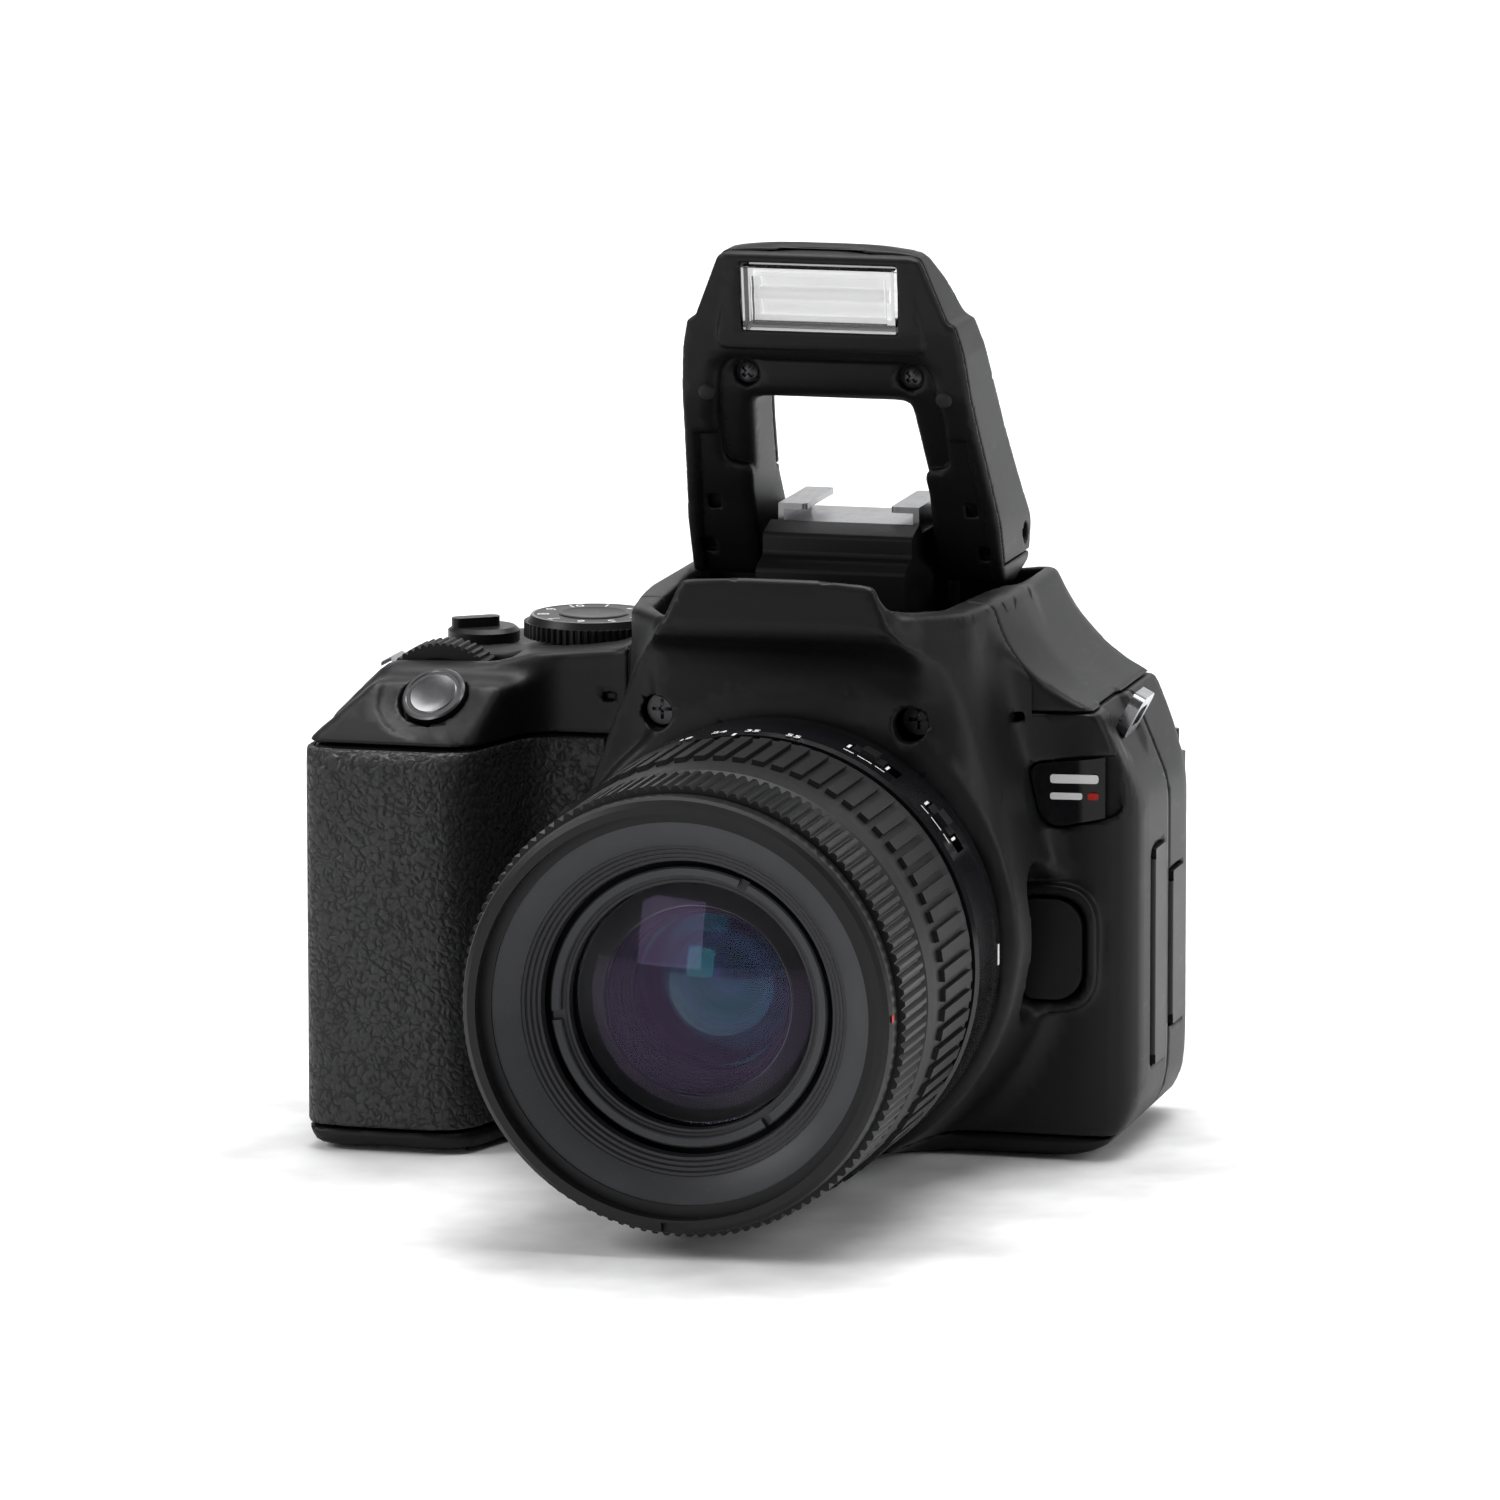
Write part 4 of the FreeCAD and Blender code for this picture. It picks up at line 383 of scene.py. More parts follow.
def flatShape(u, v, corners):  # signed distance to an outline, on the plane that u and v span
    line = rounded(corners)
    best = None
    inside = None
    for i in range(len(line)):
        a, b = line[i - 1], line[i]
        edge = b - a
        along = ((u - a[0]) * edge[0] + (v - a[1]) * edge[1]) / max(float(edge @ edge), 1e-9)
        along = np.clip(along, 0, 1)
        gap = (u - a[0] - along * edge[0]) ** 2 + (v - a[1] - along * edge[1]) ** 2
        best = gap if best is None else np.minimum(best, gap)
        if abs(edge[1]) > 1e-9:
            crosses = ((v >= min(a[1], b[1])) & (v < max(a[1], b[1]))
                       & (u < a[0] + (v - a[1]) * edge[0] / edge[1]))
            inside = crosses if inside is None else inside ^ crosses
    return (np.sqrt(best) * np.where(inside, -1, 1)).astype(np.float32)


def block(x, y, z, low, high, corner=0.0):  # a box with rounded edges
    gaps = [np.maximum(low[i] - axis, axis - high[i]) + corner for i, axis in enumerate((x, y, z))]
    outer = np.sqrt(sum(np.maximum(gap, 0) ** 2 for gap in gaps))
    return outer + np.minimum(np.maximum(np.maximum(gaps[0], gaps[1]), gaps[2]), 0) - corner


def ball(x, y, z, centre, radii):  # an egg with three radii
    scaled = [(axis - c) / r for axis, c, r in zip((x, y, z), centre, radii)]
    return (np.sqrt(sum(s * s for s in scaled)) - 1) * min(radii)


def rod(x, y, z, start, way, radius, length, corner=0.0):  # a round rod along any direction
    way = Vector(way).normalized()
    offset = [axis - s for axis, s in zip((x, y, z), start)]
    along = sum(o * w for o, w in zip(offset, way))
    out = np.sqrt(np.maximum(sum(o * o for o in offset) - along * along, 0))
    return meet(out - radius, np.abs(along - length / 2) - length / 2, corner)


def mirroredRight(half):  # a full outline from the right half, listed from the bottom up
    return half + [(-u, v, r) for u, v, r in reversed(half)]


def meshFrom(lattice, field, name, body, look, replaced, slack=0.12):
    volume = openvdb.FloatGrid(background=3.0)
    volume.copyFromArray(np.ascontiguousarray(field))
    points, triangles, quads = volume.convertToPolygons(isovalue=0.0, adaptivity=slack)
    spots = points / 1.0
    corner = np.clip(np.floor(spots).astype(int), 0, np.array(field.shape) - 2)
    part = spots - corner
    slope = np.zeros_like(spots)
    ix, iy, iz = corner.T
    cube = {(i, j, k): field[ix + i, iy + j, iz + k] for i in (0, 1) for j in (0, 1) for k in (0, 1)}
    fx, fy, fz = part.T
    for j, wj in ((0, 1 - fy), (1, fy)):
        for k, wk in ((0, 1 - fz), (1, fz)):
            slope[:, 0] += (cube[1, j, k] - cube[0, j, k]) * wj * wk
    for i, wi in ((0, 1 - fx), (1, fx)):
        for k, wk in ((0, 1 - fz), (1, fz)):
            slope[:, 1] += (cube[i, 1, k] - cube[i, 0, k]) * wi * wk
        for j, wj in ((0, 1 - fy), (1, fy)):
            slope[:, 2] += (cube[i, j, 1] - cube[i, j, 0]) * wi * wj
    size = np.linalg.norm(slope, axis=1, keepdims=True)
    slope = slope / np.maximum(size, 1e-9)
    places = (spots * lattice.step + lattice.low) * mm
    mesh = bpy.data.meshes.new(name)
    counts = np.concatenate([np.full(len(triangles), 3), np.full(len(quads), 4)])
    loops = np.concatenate([triangles.ravel(), quads.ravel()]).astype(np.int32)
    mesh.vertices.add(len(places))
    mesh.vertices.foreach_set("co", places.astype(np.float32).ravel())
    mesh.loops.add(len(loops))
    mesh.loops.foreach_set("vertex_index", loops)
    mesh.polygons.add(len(counts))
    mesh.polygons.foreach_set("loop_start", np.concatenate([[0], np.cumsum(counts)[:-1]]).astype(np.int32))
    mesh.update(calc_edges=True)
    mesh.validate()
    mesh.shade_smooth()
    if len(mesh.vertices) == len(slope):
        mesh.normals_split_custom_set_from_vertices(slope.astype(float).tolist())
    piece = addPiece(mesh, name, body, look)
    if replaced:
        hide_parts(*replaced)
    print("  ", name, len(mesh.polygons), "faces")
    return piece


def addPiece(mesh, name, body, look):
    mesh.materials.append(finish[look])
    piece = bpy.data.objects.new(name, mesh)
    bpy.context.scene.collection.objects.link(piece)
    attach(piece, body)
    return piece


def middle(name):  # the centre of a node's box, in millimetres
    low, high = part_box(name)
    return (Vector(low) + Vector(high)) / 2 / mm


def edges(name):
    low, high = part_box(name)
    return Vector(low) / mm, Vector(high) / mm


joints = {joint["name"]: joint for joint in frame["joints"]}
axisZ = joints["zoom_turn"]["pos_m"][2] / mm          # lens axis above the base
bodyLow = edges("rear_cover")[0]
leftX, rightX, backY = bodyLow.x, edges("front_cover")[1].x, 22.0
buttonTop = middle("shutter_button")
buttonWay = -Vector(joints["shutter_press"]["axis"])

shellSizes = {
    "step": 0.4,
    "wall": 2.2,
    "seam": 0.10,            # half the gap between two covers
    "seamEdge": 0.55,        # how far the covers' edges are eased at a seam
    "frontY": -18.0,
    "shoulder": 69.0,
    "gripFront": -38.0,
    "gripWidth": 28.5,
    "rubberLow": 3.6,
    "rubberHigh": 60.0,
    "rubberRight": -31.5,
    "splitY": 5.0,
    "rightSplit": 66.5,
    "noseTop": 88.4,
    "noseFront": -41.3,
    "noseHalf": 14.3,
    "bayFloor": 72.2,
}


def bodyBlock(x, y, z):  # the flat box with its sloping shoulders
    s = shellSizes
    top = s["shoulder"]
    plan = flatShape(x, y, [(leftX, s["frontY"], 5), (rightX, s["frontY"], 9), (rightX, backY, 7), (leftX, backY, 8)])
    front = flatShape(x, z, [
        (leftX, 0, 6), (rightX, 0, 14), (rightX, top - 17, 14), (rightX - 6, top - 2.6, 4),
        (rightX - 12, top + 0.2, 8), (rightX - 21, top + 4.2, 10), (-27, top + 4.5, 4), (-42.5, top + 3, 4),
        (-49, top + 0.7, 4), (leftX + 9.5, top, 3), (leftX + 0.2, top - 9, 3)])
    side = flatShape(y, z, [(s["frontY"], 0, 3), (backY, 0, 3), (backY, top + 6, 3), (s["frontY"], top + 6, 1.2)])
    return meet(meet(plan, side, 1.0), front, 1.6)


def gripBlock(x, y, z):
    s = shellSizes
    right, front, top = leftX + s["gripWidth"], s["gripFront"], s["shoulder"]
    plan = flatShape(x, y, [(leftX, 0, 3), (leftX, front + 1.2, 11), (leftX + 13, front - 0.4, 16),
                            (right - 3.5, front + 0.4, 13), (right + 3, s["frontY"] + 1, 6), (right + 8, 0, 2)])
    side = flatShape(y, z, [(front, 0, 5), (0, 0, 0), (0, top, 0), (front + 12.2, top, 3), (front, top - 11, 3.5)])
    face = flatShape(x, z, [(leftX, 0, 6), (right + 8, 0, 2), (right + 8, top, 2), (leftX + 9.5, top, 3),
                            (leftX + 0.2, top - 9, 2)])
    return meet(meet(plan, side, 2.0), face, 1.6)


def lensCone(x, y, z):  # the round housing behind the lens
    out = np.sqrt(x * x + (z - axisZ) ** 2)
    radius = 34.8 + (y + 36) * 0.13
    ends = np.maximum(-36 - y, y + 10)
    return meet(meet(out - radius, ends, 1.6), 0.3 - z, 1.0)


def nosePanel(x, y, z):  # the panel over the lens and the overhanging front of the finder housing
    s = shellSizes
    top, front = s["noseTop"], s["noseFront"]
    waist = axisZ + 20
    side = flatShape(y, z, [
        (-8, axisZ, 0), (-8, top - 8, 0), (front + 5.5, top - 0.6, 2), (front + 1.7, top, 1.0),
        (front, top - 7.4, 1.0), (front + 0.6, top - 9.0, 1.2), (front + 5.4, top - 11.6, 4),
        (front + 7.8, top - 17, 6), (front + 8.4, waist, 6), (-34, axisZ, 0)])
    face = flatShape(x, z, mirroredRight([
        (33, axisZ - 4, 0), (30.2, waist, 14), (26.0, top - 22.1, 12), (22.0, top - 13.9, 5),
        (s["noseHalf"] + 2.3, top - 6.2, 1.5), (s["noseHalf"], top - 0.9, 1.5), (5, top, 24)]))
    return meet(side, face, 1.0 + 3.2 * eased(x, 2, 18) * (1 - eased(z, 74, 80)))


def bayWall(x, y, z):  # the raised rim round the folded flash's place
    top = shellSizes["shoulder"]
    plan = flatShape(x, y, mirroredRight([(19, -36, 2), (25, -28, 8), (28.5, -5, 16), (28.5, backY, 4)]))
    face = flatShape(x, z, mirroredRight([(36, top - 10, 0), (29.8, top + 2, 8), (27.6, top + 12.4, 1.5)]))
    return meet(meet(plan, face, 1.4), top - 12 - z, 0)


def bayRoom(x, y, z):
    s = shellSizes
    plan = flatShape(x, y, mirroredRight([(15.6, -38.9, 1.5), (21.5, -27, 5), (23.2, -8, 12), (25.6, 8, 12),
                                          (25.6, 21.2, 1.5)]))
    side = flatShape(y, z, [(-38.3, 110, 0), (-38.3, s["noseTop"] - 9.2, 1), (-33.4, s["noseTop"] - 11.2, 2),
                            (-28.9, s["bayFloor"] - 1.4, 2), (21, s["bayFloor"] - 1.4, 0), (21, 110, 0)])
    return meet(plan, side, 1.0)


def tilted(place, side):  # the lug's own directions: across, out of the corner, up
    lean = math.radians(28)
    out = Vector((side * math.cos(lean), 0, math.sin(lean)))
    return Vector(place), out, Vector((-side * math.sin(lean), 0, math.cos(lean)))


def lugDish(x, y, z, place, side):
    centre, out, up = tilted(place, side)
    depth = (x - centre.x) * out.x + (z - centre.z) * out.z
    rise = (x - centre.x) * up.x + (z - centre.z) * up.z
    face = np.sqrt(np.maximum(np.abs(y - centre.y) - 3.4, 0) ** 2 + np.maximum(np.abs(rise - 0.5) - 3.6, 0) ** 2) - 2.8
    return meet(face, -2.4 - depth, 1.2)


def buildBody():
    s = shellSizes
    lattice = Lattice((leftX - 2, -44, -1.6), (rightX + 2, 27.5, 90.4), s["step"])
    x, y, z = lattice.x, lattice.y, lattice.z
    print("body field", np.broadcast_shapes(x.shape, y.shape, z.shape))
    body = bodyBlock(x, y, z)
    body = blended(body, gripBlock(x, y, z), 5.0)
    body = blended(body, lensCone(x, y, z), 3.5)
    body = blended(body, nosePanel(x, y, z), 0.8 + 5.0 * eased(x, 5, 25))
    shoulderSweep = 2.0 + 11.0 * eased(x, 8, 28) + 2.0 * eased(-x, 20, 30)
    lattice.far = blended(body, bayWall(x, y, z), shoulderSweep)
    whole = lattice
    tower = (-14, 10, 59), (14, 25.5, 84)
    whole.grow((-17, 8, 56), (17, 27.5, 87), lambda x, y, z: block(x, y, z, *tower, 3.5), 1.5)
    # dished places
    whole.carve((22, -30, 20), (rightX, -12, 48),
                lambda x, y, z: ball(x, y, z, (36.2, -24.0, 33.4), (11.8, 8.2, 11.8)), 1.2)
    # shutter button: a dished ring round the disc
    seat = Vector(buttonTop) + buttonWay * 2.9
    lean = buttonWay

    def ringDish(x, y, z):
        offset = [axis - c for axis, c in zip((x, y, z), seat)]
        along = sum(o * w for o, w in zip(offset, lean))
        out = np.sqrt(np.maximum(sum(o * o for o in offset) - along * along, 0))
        return meet(out - 7.6, -along - 0.75 + 0.55 * eased(out, 5.6, 7.8), 0.5)
    low, high = [c - 11 for c in seat], [c + 11 for c in seat]
    whole.carve(low, high, ringDish, 1.6)
    whole.carve(low, high, lambda x, y, z: rod(x, y, z, seat - lean * 3.4, lean, 5.25, 8, 0.2), 0.4)
    # dials and switch on the deck
    mode, switch, dial = middle("mode_dial"), middle("power_switch"), middle("main_dial")
    modeFloor, switchFloor = shellSizes["shoulder"] + 2.95, shellSizes["shoulder"] + 0.85
    modeSeat, switchSeat = (mode.x, mode.y, modeFloor), (switch.x, switch.y, switchFloor)
    dialRoom = (dial.x - 10.5, dial.y - 3.2, dial.z - 10.4), (dial.x + 10.5, dial.y + 3.2, 90)
    whole.carve((-52, -12, 66), (-26, 14, 80),
                lambda x, y, z: rod(x, y, z, modeSeat, (0, 0, 1), 11.0, 20, 0.3), 0.6)
    whole.carve((-64, -3, 66), (-49, 13, 80),
                lambda x, y, z: rod(x, y, z, switchSeat, (0, 0, 1), 5.9, 20, 0.3), 0.6)
    whole.carve((-70, -20, 50), (-45, -4, 80), lambda x, y, z: block(x, y, z, *dialRoom, 0.4), 0.9)
    # lens mount hole, doors, monitor and openings in the back
    whole.carve((-34, -44, 0), (34, -27, 70),
                lambda x, y, z: rod(x, y, z, (0, -50, axisZ), (0, 1, 0), 31.65, 21.5, 0.3), 0.5)
    for door in ("mic_door", "hdmi_door"):
        low, high = edges(door)
        doorRoom = (rightX - 1.9, low.y - 0.2, low.z - 0.2), (rightX + 9, high.y + 0.2, high.z + 0.2)
        spans, at = whole.window((rightX - 8, low.y - 3, low.z - 3), (rightX + 2, high.y + 3, high.z + 3))
        whole.far[spans] = meet(whole.far[spans], -block(*at, *doorRoom, 0.5), 0.3)
    caseLow, caseHigh = edges("monitor_case")
    caseRoom = (caseLow.x - 0.6, 18.0, caseLow.z - 0.6), (caseHigh.x + 0.6, 40, caseHigh.z + 0.6)
    whole.carve((caseLow.x - 5, 14, caseLow.z - 5), (rightX, 27.5, caseHigh.z + 5),
                lambda x, y, z: block(x, y, z, *caseRoom, 2.0), 0.8)
    whole.carve((-14, 8, 64), (14, 27.5, 84),
                lambda x, y, z: block(x, y, z, (-10, 9, 67), (10, 40, 80.5), 1.8), 0.8)
    right, left = (rightX - 3.6, -5.0, 64.8), (leftX + 4.0, 6.0, 63.8)
    whole.carve((rightX - 12, -13, 54), (rightX + 2, 3, 74), lambda x, y, z: lugDish(x, y, z, right, 1), 0.7)
    whole.carve((leftX - 2, -2, 53), (leftX + 12, 14, 73), lambda x, y, z: lugDish(x, y, z, left, -1), 0.7)
    # flash bay last, so that its edge is crisp
    spans, at = whole.window((-29, -42, 68), (29, 23, 90.4))
    whole.far[spans] = meet(whole.far[spans], -bayRoom(*at), 0.9)
    return whole


def coverZones(lattice):  # which stretch of the body each cover takes, as distance fields
    s = shellSizes
    x, y, z = lattice.x, lattice.y, lattice.z
    base = z - s["rubberLow"]
    topLeft = np.maximum(x - s["rubberRight"] - 3.5, s["rubberHigh"] + 0.3 - z)
    topRight = np.maximum(np.maximum(s["rubberRight"] + 3.4 - x, s["frontY"] - 0.5 - y), s["rightSplit"] - z)
    top = np.minimum(topLeft, topRight)
    rubberEdge = np.maximum(np.maximum(x - s["rubberRight"], y - s["splitY"] + 1),
                            np.maximum(s["rubberLow"] - z, z - s["rubberHigh"]))
    rear = s["splitY"] - y
    return base, top, rubberEdge, rear


def buildCovers():
    s = shellSizes
    lattice = buildBody()
    body = lattice.far
    base, top, rubber, rear = coverZones(lattice)
    x, y, z = lattice.x, lattice.y, lattice.z
    wall = -(body + s["wall"])
    shell = np.maximum(body, wall)
    ease, gap = s["seamEdge"], s["seam"]
    # the rubber lies in a 1 mm deep seat
    skinDepth = -(body + 1.0)
    rubberField = meet(meet(body, skinDepth, 0.0), rubber + gap, ease)
    meshFrom(lattice, rubberField, "gripSkin", "camera_body", "grip", ["grip_rubber"])
    hard = np.maximum(shell, -np.maximum(skinDepth, rubber - gap))
    hard = np.maximum(hard, -block(x, y, z, (-16, -33.5, 14), (16, 9, 69.5), 0.5))
    bottomField = meet(hard, base + gap, ease)
    doorLow, doorHigh = edges("battery_door")
    doorHole = block(x, y, z, (doorLow.x - 0.25, doorLow.y + 1.6, -9), (doorHigh.x + 0.25, doorHigh.y - 1.6, 12), 0.6)
    socketHole = np.sqrt(x * x + y * y) - 5.3
    for hole in (doorHole, socketHole):
        bottomField = meet(bottomField, -hole, 0.3)
    for sx, sy in ((-38, 12), (-38, -10), (36, 12), (34, -6)):
        bottomField = meet(bottomField, -(np.maximum(np.sqrt((x - sx) ** 2 + (y - sy) ** 2) - 2.5, z - 1.8)), 0.3)
    meshFrom(lattice, bottomField, "bottomShell", "camera_body", "cover", ["bottom_cover"], 0.3)
    upper = np.maximum(hard, gap - base)
    topField = meet(upper, top + gap, ease)
    for side in (-1, 1):
        slit = block(x, y, z, (side * 31 - 1.0, -30, 65.4), (side * 31 + 1.0, -10, 66.8), 0.5)
        topField = np.maximum(topField, -np.maximum(slit, y + 16.5))
    meshFrom(lattice, topField, "topShell", "camera_body", "cover", ["top_cover"])
    notTop = np.maximum(upper, gap - top)
    rearField = meet(notTop, rear + gap, ease)
    frontField = meet(notTop, gap - rear, ease)
    rearHoles = {"menu_button": 2.9, "live_view_button": 3.2, "ae_lock_button": 2.6, "playback_button": 3.1,
                 "cross_keys": 9.3}
    for name, radius in rearHoles.items():
        centre = middle(name)
        reach = radius + 3
        spans, at = lattice.window((centre.x - reach, 10, centre.z - reach), (centre.x + reach, 27.5, centre.z + reach))
        hole = rod(*at, (centre.x, 10, centre.z), (0, 1, 0), radius, 30, 0.2)
        rearField[spans] = meet(rearField[spans], -hole, 0.5)
    meshFrom(lattice, rearField, "rearShell", "camera_body", "cover", ["rear_cover"])
    # front cover: release button's rim and hole, badge seat, screw seats, microphone holes
    left, right, low, high = 32.2, 40.9, 24.5, 39.3

    def dShape(x, z, more):
        return flatShape(x, z, [
            (left - more, low - more, 1.6 + more), (right + more, low - more, 4.2 + more),
            (right + more, high + more, 4.2 + more), (left - more, high + more, 1.6 + more)])
    spans, at = lattice.window((24, -24, 16), (48, -12, 48))
    rim = np.maximum(dShape(at[0], at[2], 2.0), np.maximum(-19.9 - at[1], at[1] + 14))
    frontPart = blended(frontField[spans], rim, 1.1)
    hole = np.maximum(dShape(at[0], at[2], 0.3), at[1] + 13)
    frontField[spans] = meet(frontPart, -hole, 0.6)
    badge = [(34.25, 48.95, 3.5), (46.35, 51.4, 3.5), (45.75, 60.55, 2), (31.95, 59.05, 2)]
    spans, at = lattice.window((28, -22, 44), (rightX + 2, -12, 64))
    frontField[spans] = meet(frontField[spans], -np.maximum(flatShape(at[0], at[2], badge), at[1] + 15.8), 0.35)
    for side in (-1, 1):
        spans, at = lattice.window((side * 19.2 - 6, -38, 61), (side * 19.2 + 6, -24, 73))
        hole = rod(*at, (side * 19.2, -31.0, 67.1), (0, -1, 0), 2.5, 12, 0.2)
        frontField[spans] = meet(frontField[spans], -hole, 0.35)
        spans, at = lattice.window((side * 31 - 4, -24, 61), (side * 31 + 4, -14, 71))
        hole = np.maximum(block(*at, (side * 31 - 0.9, -30, 65.3), (side * 31 + 0.9, -10, 66.7), 0.6), at[1] + 16.6)
        frontField[spans] = meet(frontField[spans], -hole, 0.2)
    meshFrom(lattice, frontField, "frontShell", "camera_body", "cover", ["front_cover"])


print("body shells")
buildCovers()

# turned rings, plates and marks
def meshPiece(points, faces, name, body, look, crease=28):
    mesh = bpy.data.meshes.new(name)
    mesh.from_pydata([Vector(p) * mm for p in points], [], faces)
    mesh.validate()
    build = bmesh.new()
    build.from_mesh(mesh)
    bmesh.ops.recalc_face_normals(build, faces=build.faces)
    build.to_mesh(mesh)
    build.free()
    mesh.shade_smooth()
    mesh.set_sharp_from_angle(angle=math.radians(crease))
    return addPiece(mesh, name, body, look)


def turnedRing(profile, name, body, look, arcs=((0, 360),), steps=240):
    # a closed (radius, depth) outline turned about the lens axis
    points, faces = [], []
    count = len(profile)
    for start, end in arcs:
        whole = end - start >= 360
        turns = max(2, int(steps * (end - start) / 360))
        first = len(points)
        for i in range(turns if whole else turns + 1):
            angle = math.radians(start + (end - start) * i / turns)
            for j, (radius, depth) in enumerate(profile):
                points.append((radius * math.cos(angle), depth, axisZ + radius * math.sin(angle)))
        for i in range(turns):
            following = (i + 1) % turns if whole else i + 1
            for j in range(count):
                k = (j + 1) % count
                faces.append((first + i * count + j, first + i * count + k,
                              first + following * count + k, first + following * count + j))
        if not whole:
            faces.append(tuple(first + j for j in range(count)))
            faces.append(tuple(first + turns * count + j for j in reversed(range(count))))
    return meshPiece(points, faces, name, body, look)


def dome(radius, depth, thick, curve, name, body, look, slot, steps=96):
    # a glass element: bulging front, flat back
    profile = []
    rings = 14
    for i in range(1, rings + 1):
        r = radius * i / rings
        profile.append((r, depth + curve - math.sqrt(curve * curve - r * r)))
    points, faces = [(0, depth, axisZ)], []
    profile.append((radius, depth + thick))
    count = len(profile)
    for i in range(steps):
        angle = 2 * math.pi * i / steps
        points += [(r * math.cos(angle), d, axisZ + r * math.sin(angle)) for r, d in profile]
    for i in range(steps):
        a, b = 1 + i * count, 1 + (i + 1) % steps * count
        faces.append((0, a, b))
        faces += [(a + j, a + j + 1, b + j + 1, b + j) for j in range(count - 1)]
    faces.append(tuple(1 + i * count + count - 1 for i in range(steps)))
    return meshPiece(points, faces, name, body, look, 50)


def slab(outlines, origin, across, up, thick, name, body, look, slot=None, edge=0.0, bend=None):
    # flat plates on the plane through origin; outlines are lists of (u, v, corner radius)
    across, up = Vector(across).normalized(), Vector(up).normalized()
    out = across.cross(up)
    points, faces = [], []
    for corners in outlines:
        line = rounded(corners)
        centre = line.mean(axis=0)
        layers = [(0.0, 1.0), (thick - edge, 1.0)]
        if edge:
            layers.append((thick, None))
        first = len(points)
        count = len(line)
        for height, whole in layers:
            for u, v in line:
                if whole is None:
                    away = Vector((u - centre[0], v - centre[1]))
                    pull = edge / max(away.length, edge)
                    u, v = u - away.x * pull, v - away.y * pull
                spot = Vector(origin) + across * u + up * v + out * height
                points.append(bend(spot, height) if bend else spot)
        for level in range(len(layers) - 1):
            for i in range(count):
                j = (i + 1) % count
                a = first + level * count
                faces.append((a + i, a + j, a + count + j, a + count + i))
        faces.append(tuple(first + i for i in reversed(range(count))))
        faces.append(tuple(first + (len(layers) - 1) * count + i for i in range(count)))
    return meshPiece(points, faces, name, body, look, 35)


def bar(u0, u1, v0, v1, radius=0.0):
    return [(u0, v0, radius), (u1, v0, radius), (u1, v1, radius), (u0, v1, radius)]


def crossScrew(place, way, radius, name, body, look="screw"):
    # a domed head with a cross recess, its top at the place
    way = Vector(way).normalized()
    across = way.orthogonal().normalized()
    up = way.cross(across)
    points, faces = [], []

    def height(r, angle):
        dome = 0.35 * (1 - (r / radius) ** 2)
        u, v = r * math.cos(angle), r * math.sin(angle)
        slot = min(abs(u), abs(v)) < radius * 0.17 and max(abs(u), abs(v)) < radius * 0.62
        return dome - (0.55 if slot else 0)
    steps = 26
    for i in range(steps + 1):
        for j in range(steps + 1):
            u, v = (2 * i / steps - 1) * radius, (2 * j / steps - 1) * radius
            r = max(abs(u), abs(v))
            angle = math.atan2(v, u)
            u, v = r * math.cos(angle), r * math.sin(angle)
            points.append(Vector(place) + across * u + up * v + way * (height(r, angle) - 0.35))
    for i in range(steps):
        for j in range(steps):
            a = i * (steps + 1) + j
            faces.append((a, a + steps + 1, a + steps + 2, a + 1))
    return meshPiece(points, faces, name, body, look, 40)


def letters(text, place, across, up, size, name, body, look="paint", thick=0.03):
    # numbers and plain marks, laid on a surface
    data = bpy.data.curves.new(name, "FONT")
    data.body = text
    data.size = size * mm
    data.extrude = thick * mm
    data.align_x = "CENTER"
    data.align_y = "CENTER"
    data.resolution_u = 3
    across, up = Vector(across).normalized(), Vector(up).normalized()
    piece = bpy.data.objects.new(name, data)
    bpy.context.scene.collection.objects.link(piece)
    turn = Matrix((across, up, across.cross(up))).transposed().to_4x4()
    piece.matrix_world = Matrix.Translation(Vector(place) * mm) @ turn
    data.materials.append(finish[look])
    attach(piece, body)
    return piece


# flash head
flashSizes = {
    "step": 0.28,
    "seam": 0.07,
    "skin": 2.1,            # thickness of the rear cover
    "border": 1.5,          # the cover's edge beside the frame
    "windowBorder": 1.25,
    "windowRim": 1.15,      # how far its edge and its pane stand out
    "windowPane": 0.75,
    "windowRibs": 44,
    "windowRows": 14,
    "ribDepth": 0.16,
    "waveDepth": 0.10,
}
pivot = Vector(joints["flash_lift"]["pos_m"]) / mm
flashTop = edges("flash_cover")[1].z + 0.3


